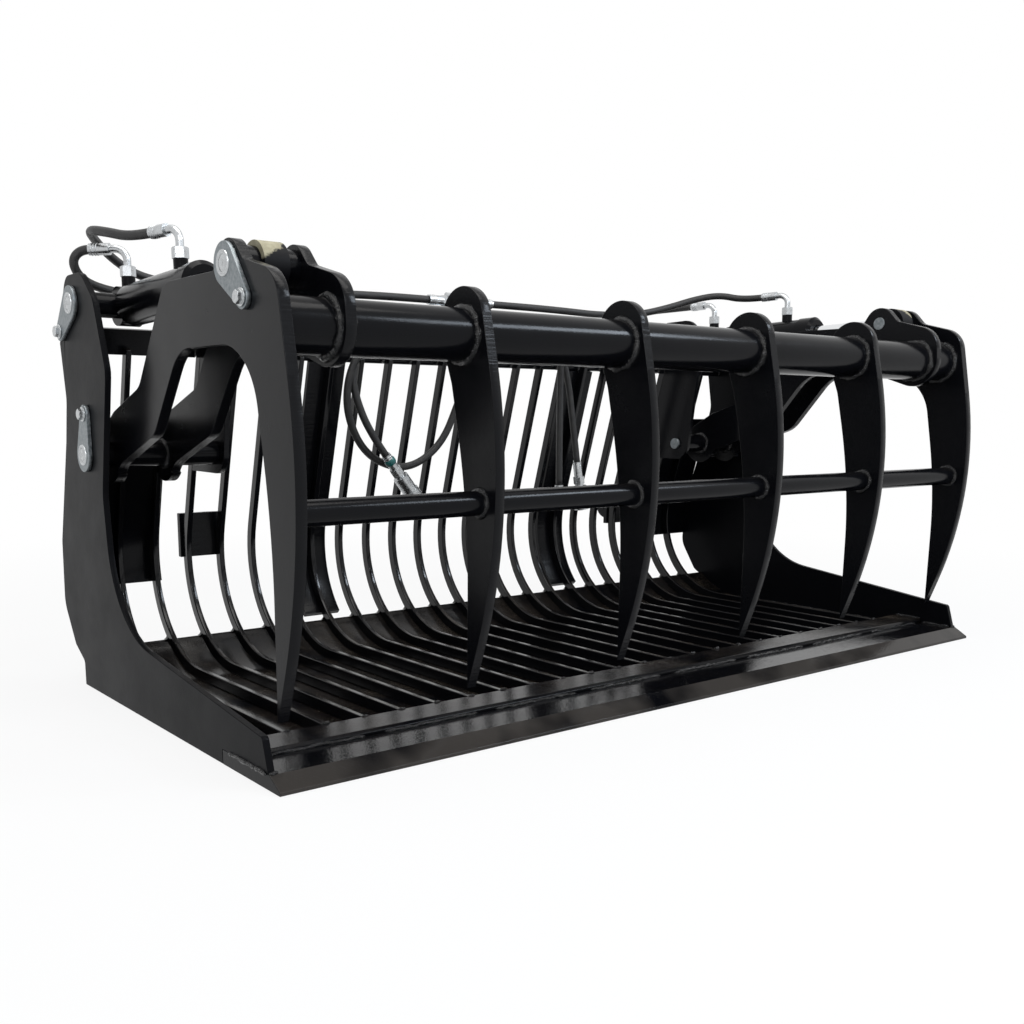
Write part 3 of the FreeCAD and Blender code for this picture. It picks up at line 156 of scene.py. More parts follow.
def blend(tree, share, first, second, kind):
    """First where share is 0 and second where it is 1, with the sockets of that kind."""
    node = tree.nodes.new("ShaderNodeMix")
    node.data_type = kind
    low, high, result = BLEND_SOCKETS[kind]
    feed(tree, node.inputs["Factor"], share)
    feed(tree, node.inputs[low], first)
    feed(tree, node.inputs[high], second)
    return node.outputs[result]


def blend_colour(tree, share, first, second):
    """A colour between two colours."""
    return blend(tree, share, first, second, "RGBA")


def blend_value(tree, share, first, second):
    """A number between two numbers."""
    return blend(tree, share, first, second, "FLOAT")


# %% [markdown]
# ## What every finish starts from
#
# Each finish is one Principled shader. What is the same all over is set on the shader's
# own socket, and what changes over the surface comes from noises and groups. A bump
# tilts the surface for light alone, and the mesh stays as it is.

# %% A start for every finish
def finish(name, colour, roughness, metallic=0.0, **sockets):
    """A new material, as (material, its tree, its shader, the place socket)."""
    made = bpy.data.materials.new(name)
    made.use_nodes = True
    made.diffuse_color = (*colour, 1)
    tree = made.node_tree
    shader = tree.nodes["Principled BSDF"]
    shader.inputs["Base Color"].default_value = (*colour, 1)
    shader.inputs["Roughness"].default_value = roughness
    shader.inputs["Metallic"].default_value = metallic
    for socket, value in sockets.items():
        shader.inputs[socket.replace("_", " ")].default_value = value
    place = add(tree, "ShaderNodeTexCoord").outputs["Object"]
    return made, tree, shader, place


def bump(tree, shader, height, distance, before=None):
    """Tilts the shader's surface by a height map, on top of an earlier tilt if there is one."""
    node = add(tree, "ShaderNodeBump", Height=height, Distance=distance, Strength=1.0)
    if before is not None:
        tree.links.new(before, node.inputs["Normal"])
    tree.links.new(node.outputs["Normal"], shader.inputs["Normal"])
    return node.outputs["Normal"]


def point_number(tree, label):
    """The number of that name that a mesh keeps on its points."""
    node = add(tree, "ShaderNodeAttribute")
    node.attribute_name = label
    return node.outputs["Fac"]


# %% [markdown]
# ## Light
#
# Gloss black paint has almost no colour of its own, so what the eye sees is what it
# mirrors. Large soft lamps give it broad pale bands, as windows and a pale ceiling do,
# and a small one gives sharper lights. The world is white to the camera and in
# reflections, and dimmer as a light, which keeps the background clean without washing
# out the paint.

# %% World
WORLD_COLOUR = (0.92, 0.96, 1)
WORLD_STRENGTH = 0.45

world = bpy.data.worlds.new("studio")
world.use_nodes = True
bpy.context.scene.world = world
tree = world.node_tree
tree.nodes.clear()
rays = add(tree, "ShaderNodeLightPath").outputs
mirrored = math_node(tree, "MAXIMUM", rays["Is Glossy Ray"], rays["Is Transmission Ray"])
seen = math_node(tree, "MAXIMUM", rays["Is Camera Ray"], mirrored)
light = add(tree, "ShaderNodeBackground", Color=WORLD_COLOUR, Strength=WORLD_STRENGTH)
white = add(tree, "ShaderNodeBackground", Color=(1, 1, 1), Strength=1.0)
mix = add(tree, "ShaderNodeMixShader", Fac=seen, n1=light.outputs[0], n2=white.outputs[0])
add(tree, "ShaderNodeOutputWorld", Surface=mix.outputs[0])
bpy.context.scene.view_settings.view_transform = "Standard"

# %% Lamps
# name, place, aim, width, height, power in watts, colour
LAMPS = (
    ("ceiling_lamp", (-0.5, -0.5, 3.2), (0, 0, 0.3), 3.2, 1.6, 60, (1.0, 0.98, 0.95)),
    ("door_lamp", (2.3, -2.6, 2.9), (0, 0.3, 0.4), 1.8, 0.7, 70, (0.80, 0.89, 1.0)),
    ("front_lamp", (-2.6, -2.6, 2.2), (-0.2, 0, 0.4), 1.0, 1.0, 26, (0.95, 0.97, 1.0)),
    ("small_lamp", (-0.9, -3.0, 2.0), (0, 0, 0.5), 0.25, 0.25, 10, (0.86, 0.92, 1.0)),
)


def soft_lamp(name, place, aim, width, height, power, colour):
    """A rectangle lamp at place that shines towards aim."""
    lamp = bpy.data.lights.new(name, "AREA")
    lamp.shape = "RECTANGLE"
    lamp.size = width
    lamp.size_y = height
    lamp.energy = power
    lamp.color = colour
    item = bpy.data.objects.new(name, lamp)
    item.location = place
    item.rotation_euler = (Vector(aim) - Vector(place)).to_track_quat("-Z", "Y").to_euler()
    item.visible_camera = False
    bpy.context.scene.collection.objects.link(item)


for lamp_values in LAMPS:
    soft_lamp(*lamp_values)
print("lamps", len(LAMPS))

# %% [markdown]
# ## The floor
#
# The floor is one very large pale sheet. Lit by the lamps alone it would end in a grey
# horizon. So a share of it glows white, but only for rays that look at it: less near
# the bucket, where the shadow has to show, and all of it further out.

# %% Floor
FLOOR_HALF, FLOOR_GAP = 30, 0.0005
FADE_FROM, FADE_TO = 0.9, 3.2
GLOW_NEAR, GLOW_FAR = 0.86, 1.0

floor_mesh = bpy.data.meshes.new("floor")
floor_mesh.from_pydata([(-FLOOR_HALF, -FLOOR_HALF, 0), (FLOOR_HALF, -FLOOR_HALF, 0),
                        (FLOOR_HALF, FLOOR_HALF, 0), (-FLOOR_HALF, FLOOR_HALF, 0)],
                       [], [(0, 1, 2, 3)])
floor = bpy.data.objects.new("floor", floor_mesh)
floor.location.z = cad_low.z - FLOOR_GAP
bpy.context.scene.collection.objects.link(floor)

pale, tree, shader, place = finish("pale_floor", (0.80, 0.80, 0.80), 0.7)
distance = add(tree, "ShaderNodeVectorMath", "LENGTH", n0=place).outputs["Value"]
fade = add(tree, "ShaderNodeMapRange", Value=distance, From_Min=FADE_FROM, From_Max=FADE_TO,
           To_Min=GLOW_NEAR, To_Max=GLOW_FAR)
fade.interpolation_type = "SMOOTHSTEP"
rays = add(tree, "ShaderNodeLightPath").outputs
seen = math_node(tree, "MAXIMUM", rays["Is Camera Ray"], rays["Is Glossy Ray"])
share = math_node(tree, "MULTIPLY", seen, fade.outputs["Result"])
glow = add(tree, "ShaderNodeEmission", Color=(1, 1, 1))
mix = add(tree, "ShaderNodeMixShader", Fac=share, n1=shader.outputs[0], n2=glow.outputs[0])
tree.links.new(mix.outputs[0], tree.nodes["Material Output"].inputs["Surface"])
floor.data.materials.append(pale)

# %% [markdown]
# ## Meshes from rings of points
#
# Hoses, weld beads, pin ends and crimps are rings of points, one after another, with a
# skin between them. A curve with a bevel could draw a hose too, but its points wouldn't
# keep numbers of their own, such as how far along the hose they are, and two finishes
# need those numbers.

# %% Circles, skins and new pieces
def circle(side, other, steps):
    """Directions all round, in the plane of the two given."""
    angles = [2 * math.pi * i / steps for i in range(steps)]
    return [side * math.cos(angle) + other * math.sin(angle) for angle in angles]


def skin(first, rows, sides, outward=False, closed=False):
    """Faces between rings that follow one another, from point number first."""
    faces = []
    for row in range(rows if closed else rows - 1):
        here = first + row * sides
        after = first + (row + 1) % rows * sides
        for i in range(sides):
            j = (i + 1) % sides
            if outward:
                faces.append((here + i, after + i, after + j, here + j))
            else:
                faces.append((here + i, here + j, after + j, after + i))
    return faces


def new_piece(name, places, faces, numbers):
    """A smooth mesh object in the scene, with a named number on each of its points."""
    mesh = bpy.data.meshes.new(name)
    mesh.from_pydata([tuple(place) for place in places], [], faces)
    for label, values in numbers.items():
        mesh.attributes.new(label, "FLOAT", "POINT").data.foreach_set("value", values)
    mesh.shade_smooth()
    item = bpy.data.objects.new(name, mesh)
    bpy.context.scene.collection.objects.link(item)
    return item


def surface_of(name):
    """The skin of a CAD node, ready for rays."""
    data = nodes[name].data
    return BVHTree.FromPolygons([vertex.co for vertex in data.vertices],
                                [face.vertices[:] for face in data.polygons])


# %% [markdown]
# ## Hoses
#
# A hose is a fixed length of something stiff and springy, so its line is smooth: a NURBS
# curve whose control points are the route. The wall is swept along points read from
# that curve. Each point of the wall keeps how far along and how far round the hose it
# is, and the pattern that a cloth wrap leaves in the rubber follows those two numbers.

# %% Routes, in metres
HOSE_WIDTH = 0.018
ROUTES = {
    "hose_left_rod": [
        (-0.9099, 0.0929, 0.8898), (-0.9276, 0.1544, 0.8877), (-0.9500, 0.2160, 0.9020),
        (-0.9590, 0.2840, 0.9130), (-0.9290, 0.3460, 0.9070), (-0.8820, 0.3800, 0.8770),
        (-0.8220, 0.3920, 0.8460), (-0.7350, 0.3860, 0.8340), (-0.6000, 0.3520, 0.8300),
        (-0.4400, 0.3280, 0.8330), (-0.3100, 0.3120, 0.8360), (-0.1950, 0.3063, 0.8367),
        (-0.1310, 0.3063, 0.8367)],
    "hose_left_base": [
        (-0.9455, 0.3256, 0.8819), (-0.9574, 0.3363, 0.8816), (-0.9720, 0.3440, 0.8660),
        (-0.9700, 0.3480, 0.8460), (-0.9500, 0.3540, 0.8240), (-0.9070, 0.3660, 0.8120),
        (-0.8350, 0.3840, 0.8060), (-0.7400, 0.3860, 0.8040), (-0.6100, 0.3580, 0.8050),
        (-0.4600, 0.3300, 0.8080), (-0.3150, 0.3170, 0.8100), (-0.1950, 0.3136, 0.8097),
        (-0.1310, 0.3136, 0.8097)],
    "hose_right_rod": [
        (0.8784, 0.0951, 0.8897), (0.8695, 0.1584, 0.8876), (0.8380, 0.2150, 0.9030),
        (0.7880, 0.2620, 0.8920), (0.7150, 0.3000, 0.8660), (0.6100, 0.3220, 0.8420),
        (0.4600, 0.3220, 0.8340), (0.3300, 0.3130, 0.8360), (0.2150, 0.3090, 0.8370),
        (0.1290, 0.3063, 0.8367), (0.0650, 0.3063, 0.8367)],
    "hose_right_base": [
        (0.8784, 0.3500, 0.8811), (0.8695, 0.4133, 0.8789), (0.8240, 0.4700, 0.8730),
        (0.7360, 0.4900, 0.8480), (0.6200, 0.4450, 0.8260), (0.4800, 0.3780, 0.8120),
        (0.3350, 0.3340, 0.8090), (0.2150, 0.3190, 0.8100), (0.1290, 0.3136, 0.8097),
        (0.0650, 0.3136, 0.8097)],
    "supply_hose_1": [
        (-0.1350, 0.2385, 0.8038), (-0.1990, 0.2385, 0.8038), (-0.2680, 0.2660, 0.7860),
        (-0.3320, 0.2840, 0.7340), (-0.3620, 0.2900, 0.6620), (-0.3500, 0.2900, 0.6000),
        (-0.3150, 0.2900, 0.5250), (-0.2680, 0.2900, 0.4670)],
    "supply_hose_2": [
        (-0.0330, 0.2584, 0.7305), (-0.0330, 0.2752, 0.6687), (-0.0500, 0.2840, 0.6000),
        (-0.0920, 0.3040, 0.4850), (-0.1900, 0.3180, 0.4250), (-0.3050, 0.3180, 0.4620),
        (-0.3740, 0.2960, 0.5600), (-0.3780, 0.2760, 0.6620), (-0.3300, 0.2500, 0.7450),
        (-0.2300, 0.2220, 0.7750), (-0.0750, 0.2100, 0.7800), (0.0750, 0.2160, 0.7820),
        (0.1980, 0.2400, 0.7760), (0.2680, 0.2620, 0.7280), (0.2820, 0.2760, 0.6400),
        (0.2880, 0.2820, 0.5060), (0.2910, 0.2820, 0.3760)],
    "supply_hose_3": [
        (0.0690, 0.2385, 0.8038), (0.1330, 0.2385, 0.8038), (0.2150, 0.2620, 0.7900),
        (0.2850, 0.2840, 0.7380), (0.3240, 0.2900, 0.6500), (0.3440, 0.2900, 0.5410),
        (0.3630, 0.2900, 0.4370)],
}
print("hoses", len(ROUTES))

# %% From a route to a hose
HOSE_SIDES = 16


def smooth_line(name, route):
    """The points of a smooth curve that has the route as its controls."""
    line = bpy.data.curves.new(name, "CURVE")
    line.dimensions = "3D"
    line.resolution_u = 14
    spline = line.splines.new("NURBS")
    spline.points.add(len(route) - 1)
    for knot, place in zip(spline.points, route):
        knot.co = (*place, 1)
    spline.order_u = 3
    spline.use_endpoint_u = True
    holder = bpy.data.objects.new(name, line)
    drawn = bpy.data.meshes.new_from_object(holder)
    points = [vertex.co.copy() for vertex in drawn.vertices]
    bpy.data.objects.remove(holder)
    bpy.data.curves.remove(line)
    bpy.data.meshes.remove(drawn)
    return points


def sweep(name, path, radius):
    """A tube along path, with numbers along and around on its points."""
    places, along = [], []
    side = (path[1] - path[0]).orthogonal().normalized()
    gone = 0.0
    for i, here in enumerate(path):
        ahead = (path[min(i + 1, len(path) - 1)] - path[max(i - 1, 0)]).normalized()
        side = (side - ahead * side.dot(ahead)).normalized()
        gone += (here - path[i - 1]).length if i else 0.0
        places += [here + way * radius for way in circle(side, ahead.cross(side), HOSE_SIDES)]
        along += [gone] * HOSE_SIDES
    faces = skin(0, len(path), HOSE_SIDES)
    faces.append(tuple(range(HOSE_SIDES))[::-1])
    faces.append(tuple(len(places) - HOSE_SIDES + j for j in range(HOSE_SIDES)))
    around = [j / HOSE_SIDES for j in range(HOSE_SIDES)] * len(path)
    return new_piece(name, places, faces, {"along": along, "around": around})


# %% [markdown]
# ## Laying the hoses
#
# Each tube takes the place of a plain CAD hose. A cylinder's hose has one end on the
# barrel, which swings, and one on the beam, which stands still; its tube is left in
# place in the part's frame. A supply hose rides on the bucket alone.

# %% Lay the hoses
HOSE_ENDS = {"supply_hose_1": "quick_coupler_1", "supply_hose_2": "hose_cap",
             "supply_hose_3": "quick_coupler_2"}
# The point of the route past the first bends of a cylinder's hose
STILL_LEFT, STILL_RIGHT = 8, 6
hoses = []
for name, route in ROUTES.items():
    line = smooth_line(name, route)
    length = sum((b - a).length for a, b in zip(line, line[1:]))
    item = sweep(name + "_rubber", line, HOSE_WIDTH / 2)
    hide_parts(name)
    if name in HOSE_ENDS:
        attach(item, "root")
        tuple(route[0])
        "connector" if "coupler" in HOSE_ENDS[name] else "fitting"
    else:
        barrel = "barrel_left" if "left" in name else "barrel_right"
        still = STILL_LEFT if "left" in name else STILL_RIGHT
        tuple(route[0])
        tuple(route[still])
        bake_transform(item)
        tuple(route[0])
    hoses.append(item)
    print(name, round(length, 3), "m")

# %% [markdown]
# ## Effects that several finishes share
#
# A shader node group is a small machine with named inputs and outputs. Built once, it is
# placed in each material with other values. There are five: the height of orange peel
# in sprayed paint, a mask for dust that settles on faces that look up, a mask for fine
# scratches, the grooves that a flame leaves through the thickness of a cut plate, and a
# mask for the faces of the cutting edge that look forward, which turns them a lighter
# brownish grey: partly dirt, partly painted light on the faces that look forward.

# %% Tools for groups
def group(name, inputs, outputs):
    """An empty node group with its sockets, as (tree, its inputs, output node)."""
    made = bpy.data.node_groups.new(name, "ShaderNodeTree")
    for socket, value in inputs.items():
        kind = "NodeSocketVector" if value is None else "NodeSocketFloat"
        made.interface.new_socket(socket, in_out="INPUT", socket_type=kind)
        if value is not None:
            made.interface.items_tree[socket].default_value = value
    for socket in outputs:
        made.interface.new_socket(socket, in_out="OUTPUT", socket_type="NodeSocketFloat")
    return made, made.nodes.new("NodeGroupInput").outputs, made.nodes.new("NodeGroupOutput")


def placed(tree, made, **values):
    """A group put to work in a material, with its inputs fed by name."""
    node = tree.nodes.new("ShaderNodeGroup")
    node.node_tree = made
    for key, value in values.items():
        feed(tree, node.inputs[key], value)
    return node


def facing(tree, axis):
    """How far a face looks along X, Y or Z, from -1 to 1."""
    normal = add(tree, "ShaderNodeNewGeometry").outputs["Normal"]
    return add(tree, "ShaderNodeSeparateXYZ", n0=normal).outputs[axis]


def pressed(tree, place, factors):
    """The place with its axes pressed together, which draws a noise out into lines."""
    return add(tree, "ShaderNodeVectorMath", "MULTIPLY", n0=place, n1=factors).outputs[0]


# %% Orange peel
SWELL = 0.11

peel, given, result = group("orange peel", {"Place": None, "Cell": 0.004, "Waviness": 0.3},
                            ["Height"])
per_metre = math_node(peel, "DIVIDE", 1.0, given["Cell"])
fine = noise_node(peel, given["Place"], per_metre, detail=1.0)
coarse = noise_node(peel, given["Place"], math_node(peel, "MULTIPLY", per_metre, SWELL),
                    detail=1.0)
swell = math_node(peel, "MULTIPLY", coarse, given["Waviness"])
peel.links.new(math_node(peel, "ADD", fine, swell), result.inputs["Height"])

# %% Settled dust
dust, given, result = group("settled dust", {"Place": None, "Amount": 0.5, "Patch": 0.12},
                            ["Mask"])
upward = ramp(dust, facing(dust, "Z"), 0.55, 0.98)
patch = noise_node(dust, given["Place"], math_node(dust, "DIVIDE", 1.0, given["Patch"]),
                   detail=5.0, roughness=0.62)
patch = ramp(dust, patch, 0.38, 0.72)
cover = math_node(dust, "MULTIPLY", math_node(dust, "MULTIPLY", upward, patch), given["Amount"])
speckle = ramp(dust, noise_node(dust, given["Place"], 900.0), 0.35, 0.75)
dust.links.new(math_node(dust, "MULTIPLY", cover, speckle, clamp=True), result.inputs["Mask"])

# %% Fine scratches
scratch, given, result = group("fine scratches", {"Place": None, "Length": 0.02}, ["Mask"])
lines = noise_node(scratch, pressed(scratch, given["Place"], (1.0, 0.08, 1.0)),
                   math_node(scratch, "DIVIDE", 8.0, given["Length"]), detail=3.0, roughness=0.7)
scratch.links.new(ramp(scratch, lines, 0.62, 0.70), result.inputs["Mask"])

# %% Flame cut grooves
cut, given, result = group("cut edge", {"Place": None, "Pitch": 0.004}, ["Height"])
sideways = math_node(cut, "ABSOLUTE", facing(cut, "X"))
on_edge = math_node(cut, "SUBTRACT", 1.0, ramp(cut, sideways, 0.35, 0.75))
lines = noise_node(cut, pressed(cut, given["Place"], (0.06, 1.0, 1.0)),
                   math_node(cut, "DIVIDE", 1.0, given["Pitch"]))
cut.links.new(math_node(cut, "MULTIPLY", lines, on_edge), result.inputs["Height"])

# %% Front dirt and painted sheen
front_sheen, given, result = group("front dirt and painted sheen", {"Place": None, "Amount": 1.0}, ["Mask"])
forward = ramp(front_sheen, math_node(front_sheen, "MULTIPLY", facing(front_sheen, "Y"), -1.0), 0.25, 0.45)
smear = ramp(front_sheen, noise_node(front_sheen, given["Place"], 4.0, detail=3.0, roughness=0.55), 0.36, 0.52)
smear = math_node(front_sheen, "MULTIPLY", forward, smear)
front_sheen.links.new(math_node(front_sheen, "MULTIPLY", smear, given["Amount"], clamp=True),
               result.inputs["Mask"])
print("groups", [made.name for made in bpy.data.node_groups])

# %% [markdown]
# ## Gloss black paint
#
# The bucket is sprayed gloss black. Black paint shows its surface and not its colour, so
# its looks are in small things: the waves of orange peel, a haze where it was handled,
# and brown dust where dust can lie. A plain black would look like plastic. The index of
# refraction is lower than real paint's, because this white studio mirrors far more
# light in it than the dark hall of the photograph.

# %% Black paints
PAINT = (0.0028, 0.0030, 0.0040)
DUST, DUSTY_ROUGHNESS, DUST_PATCH = (0.15, 0.118, 0.085), 0.75, 0.10
# Lighter brownish grey for faces that look forward: partly dirt, partly painted light on those
# faces
FRONT_GRIME_AND_SHEEN = (0.046, 0.041, 0.037)
PEEL_CELL, GROOVE_PITCH = 0.0035, 0.0035
# Beyond this distance from the middle, more dust lies
OUTER_FROM, OUTER_TO, OUTER_DUST = 0.885, 0.915, 2.2


def black_paint(name, dust_amount, peel_depth=0.00010, roughness=0.13, haze_share=0.10,
                groove=0.0, ior=1.20, front_sheen_amount=0.0):
    """Sprayed gloss black with orange peel, a little dust and handling haze."""
    made, tree, shader, place = finish(name, PAINT, roughness, IOR=ior)
    wavy = placed(tree, peel, Place=place, Cell=PEEL_CELL, Waviness=0.8)
    aside = add(tree, "ShaderNodeSeparateXYZ", n0=place).outputs["X"]
    aside = ramp(tree, math_node(tree, "ABSOLUTE", aside), OUTER_FROM, OUTER_TO)
    amount = blend_value(tree, aside, dust_amount, dust_amount * OUTER_DUST)
    dusty = placed(tree, dust, Place=place, Amount=amount, Patch=DUST_PATCH)
    colour = blend_colour(tree, dusty.outputs["Mask"], PAINT, DUST)
    # Faces that look forward turn a lighter brownish grey: partly dirt, partly painted light on
    # them
    if front_sheen_amount:
        front_sheen_mask = placed(tree, front_sheen, Place=place, Amount=front_sheen_amount)
        colour = blend_colour(tree, front_sheen_mask.outputs["Mask"], colour, FRONT_GRIME_AND_SHEEN)
    tree.links.new(colour, shader.inputs["Base Color"])
    haze = ramp(tree, noise_node(tree, place, 9.0, detail=6.0, roughness=0.65), 0.35, 0.75)
    gloss = blend_value(tree, haze, roughness, roughness + haze_share)
    gloss = blend_value(tree, dusty.outputs["Mask"], gloss, DUSTY_ROUGHNESS)
    tree.links.new(gloss, shader.inputs["Roughness"])
    before = bump(tree, shader, wavy.outputs["Height"], peel_depth)
    if groove:
        cuts = placed(tree, cut, Place=place, Pitch=GROOVE_PITCH)
        bump(tree, shader, cuts.outputs["Height"], groove, before=before)
    return made


paint = black_paint("black_paint", 0.08)
floor_paint = black_paint("black_paint_on_floor", 0.45, roughness=0.10, ior=1.33)
strip_paint = black_paint("black_paint_on_front_strip", 0.30, roughness=0.10)
edge_paint = black_paint("black_paint_on_cutting_edge", 0.05, peel_depth=0.00016,
                         roughness=0.05, haze_share=0.04, front_sheen_amount=0.9)
plate_paint = black_paint("black_paint_on_cut_plate", 0.05, roughness=0.20, groove=0.0004,
                          ior=1.23)
side_paint = black_paint("black_paint_on_side_plate", 0.05, roughness=0.32, groove=0.0004,
                         ior=1.14)
print("paints ready")

# %% [markdown]
# ## Paint over weld metal
#
# A weld bead is a row of small frozen ripples under the same paint. Modelling each
# ripple would take many times the faces, so the bead keeps how far along the seam each
# of its points is, and a sine of that number makes the ripples as a bump.

# %% Weld paint
RIPPLE_WAVE, RIPPLE_WANDER, LUMPS = 2300.0, 7.0, 3.0

weld_paint, tree, shader, place = finish("black_paint_on_weld", PAINT, 0.05, IOR=1.40)
wander = math_node(tree, "MULTIPLY", noise_node(tree, place, 260.0, detail=1.0), RIPPLE_WANDER)
travel = math_node(tree, "MULTIPLY", point_number(tree, "along"), RIPPLE_WAVE)
ripple = math_node(tree, "SINE", math_node(tree, "ADD", travel, wander))
lumps = math_node(tree, "MULTIPLY", noise_node(tree, place, 420.0), LUMPS)
bump(tree, shader, math_node(tree, "ADD", ripple, lumps), 0.00045)

# %% [markdown]
# ## Hose rubber
#
# Hydraulic hose is cured under a tight wrap of cloth, which leaves a fine criss-cross in
# the black rubber. Two sines that wind round the hose in opposite ways give it. They
# follow the numbers on the hose's points, so the pattern bends with the hose.

# %% Rubber
WRAP_WAVE, WRAP_ROUND = 2100.0, 25.133

rubber, tree, shader, place = finish("hose_rubber", (0.012, 0.012, 0.013), 0.5, IOR=1.45)
forth = math_node(tree, "MULTIPLY", point_number(tree, "along"), WRAP_WAVE)
about = math_node(tree, "MULTIPLY", point_number(tree, "around"), WRAP_ROUND)
one_way = math_node(tree, "SINE", math_node(tree, "ADD", forth, about))
other_way = math_node(tree, "SINE", math_node(tree, "SUBTRACT", forth, about))
cloth = math_node(tree, "ADD", one_way, other_way)
smudge = ramp(tree, noise_node(tree, place, 45.0, detail=4.0, roughness=0.6), 0.35, 0.75)
tree.links.new(blend_colour(tree, smudge, (0.010, 0.010, 0.011), (0.026, 0.025, 0.024)),
               shader.inputs["Base Color"])
tree.links.new(blend_value(tree, smudge, 0.42, 0.62), shader.inputs["Roughness"])
bump(tree, shader, cloth, 0.00010)
for item in hoses:
    item.data.materials.append(rubber)

# %% [markdown]
# ## Zinc, chrome and turned steel
#
# Pins, bolts and hose fittings are plated: a pale grey metal with a fine mottle. The
# flags get darker values than the fittings: painted shade on the flags and painted
# highlight on the fittings. The rod is hard chrome with hair scratches. Its eye is pale
# primer on its top and outer side and black on the rest, so one material changes with
# the distance from the upper pin: the primer is the eye's own colour, and its lying on
# top alone is painted highlight, with painted shade below.

# %% Zinc
def zinc_plating(name, dark, light, rough):
    """Plated steel: a mottle of two greys under a fine grain."""
    made, tree, shader, place = finish(name, light, rough, 1.0)
    mottle = ramp(tree, noise_node(tree, place, 160.0, detail=4.0, roughness=0.6),
                  0.3, 0.7)
    tree.links.new(blend_colour(tree, mottle, dark, light), shader.inputs["Base Color"])
    tree.links.new(blend_value(tree, mottle, rough, rough + 0.16), shader.inputs["Roughness"])
    bump(tree, shader, noise_node(tree, place, 700.0), 0.00006)
    return made


# One plating in two copies: darker greys on the flags as painted shade, lighter ones on the
# fittings as painted highlight
shaded_flag_zinc = zinc_plating("zinc_on_flags_painted_shade", (0.15, 0.175, 0.185), (0.30, 0.32, 0.335), 0.36)
zinc = zinc_plating("zinc_on_fittings_painted_highlight", (0.42, 0.43, 0.44), (0.56, 0.58, 0.59), 0.22)

# %% Chrome rod with its painted eye
CHROME = (0.78, 0.79, 0.80)
PRIMER, SOILED_PRIMER = (0.44, 0.41, 0.29), (0.24, 0.21, 0.14)
UPPER_PIN = (-0.307, 0.793)
EYE_END, ROD_START, EYE_MIDDLE = 0.041, 0.043, 0.889
# How high above the pin the pale primer starts, a line that puts painted highlight on the eye's
# top, and what moves that line up or down
PRIMER_FROM, PRIMER_TO = 0.026, 0.031
LINE_SLOPE, LINE_RAGGED, RIGHT_LOWER = 0.6, 0.016, 0.012

chrome, tree, shader, place = finish("chrome_rod", CHROME, 0.10, 1.0, IOR=1.20)
place_parts = add(tree, "ShaderNodeSeparateXYZ", n0=place).outputs
back = math_node(tree, "SUBTRACT", place_parts["Y"], UPPER_PIN[0])
rise = math_node(tree, "SUBTRACT", place_parts["Z"], UPPER_PIN[1])
reach = math_node(tree, "SQRT", math_node(tree, "ADD", math_node(tree, "MULTIPLY", back, back),
                                          math_node(tree, "MULTIPLY", rise, rise)))
on_rod = ramp(tree, reach, EYE_END, ROD_START)
lines = placed(tree, scratch, Place=place, Length=0.03)
gloss = blend_value(tree, lines.outputs["Mask"], 0.10, 0.24)
tree.links.new(blend_value(tree, on_rod, 0.5, gloss), shader.inputs["Roughness"])
soil = ramp(tree, noise_node(tree, place, 70.0, detail=4.0, roughness=0.6), 0.3, 0.75)
primer = blend_colour(tree, soil, PRIMER, SOILED_PRIMER)
outward = math_node(tree, "ABSOLUTE", place_parts["X"])
outward = math_node(tree, "SUBTRACT", outward, EYE_MIDDLE)
# Pale primer above a sloped line over the pin, black below: the primer is the eye's own colour,
# its place on top is painted highlight and the black below painted shade
primer_and_highlight = math_node(tree, "ADD", rise, math_node(tree, "MULTIPLY", outward, LINE_SLOPE))
primer_and_highlight = math_node(tree, "ADD", primer_and_highlight, math_node(tree, "MULTIPLY", soil, LINE_RAGGED))
right_eye = math_node(tree, "MULTIPLY", ramp(tree, place_parts["X"], -0.1, 0.1), RIGHT_LOWER)
primer_and_highlight = ramp(tree, math_node(tree, "SUBTRACT", primer_and_highlight, right_eye), PRIMER_FROM, PRIMER_TO)
eye_colour = blend_colour(tree, primer_and_highlight, PAINT, primer)
tree.links.new(blend_colour(tree, on_rod, eye_colour, CHROME), shader.inputs["Base Color"])
tree.links.new(on_rod, shader.inputs["Metallic"])

# %% Turned steel
turned, tree, shader, place = finish("turned_steel", (0.45, 0.45, 0.45), 0.35, 1.0)
lines = placed(tree, scratch, Place=place, Length=0.01)
tree.links.new(blend_value(tree, lines.outputs["Mask"], 0.30, 0.50), shader.inputs["Roughness"])

# %% [markdown]
# ## Which node gets which finish
#
# A table of how names start is easier to check against the photograph than sixty lines,
# one to a node. What isn't in the table is painted black.

# %% Give the finishes to the CAD nodes
LOOKS = (
    (shaded_flag_zinc, ("pivot_pin", "base_pin", "upper_pin")),
    (zinc, ("side_plate_flag_bolts", "arm_flag_bolts", "cylinder_elbows", "hose_block",
            "quick_coupler", "hose_cap")),
    (chrome, ("cylinder_rod",)),
    (turned, ("cylinder_piston",)),
    (floor_paint, ("grid_bars", "floor_plate")),
    (strip_paint, ("front_strip",)),
    (edge_paint, ("cutting_edge",)),
    (side_paint, ("side_plate_l", "side_plate_r")),
    (plate_paint, ("end_tine", "tine_", "inner_arm", "inner_hinge_plate", "hitch_lug",
                   "hitch_hook")),
    (rubber, ("hose_left", "hose_right", "supply_hose")),
)
for name, item in nodes.items():
    looks = [look for look, starts in LOOKS if name.startswith(starts)]
    item.data.materials.clear()
    item.data.materials.append(looks[0] if looks else paint)

# %% [markdown]
# ## Weld beads
#
# The grapple and the bucket are welded, and the beads catch more light than anything
# else on them. A bead lies where two pieces meet, so its place is found and not drawn:
# round each tube at each plate's face, points are kept where the plate really is. A ray
# that starts inside a solid crosses its skin an odd number of times.

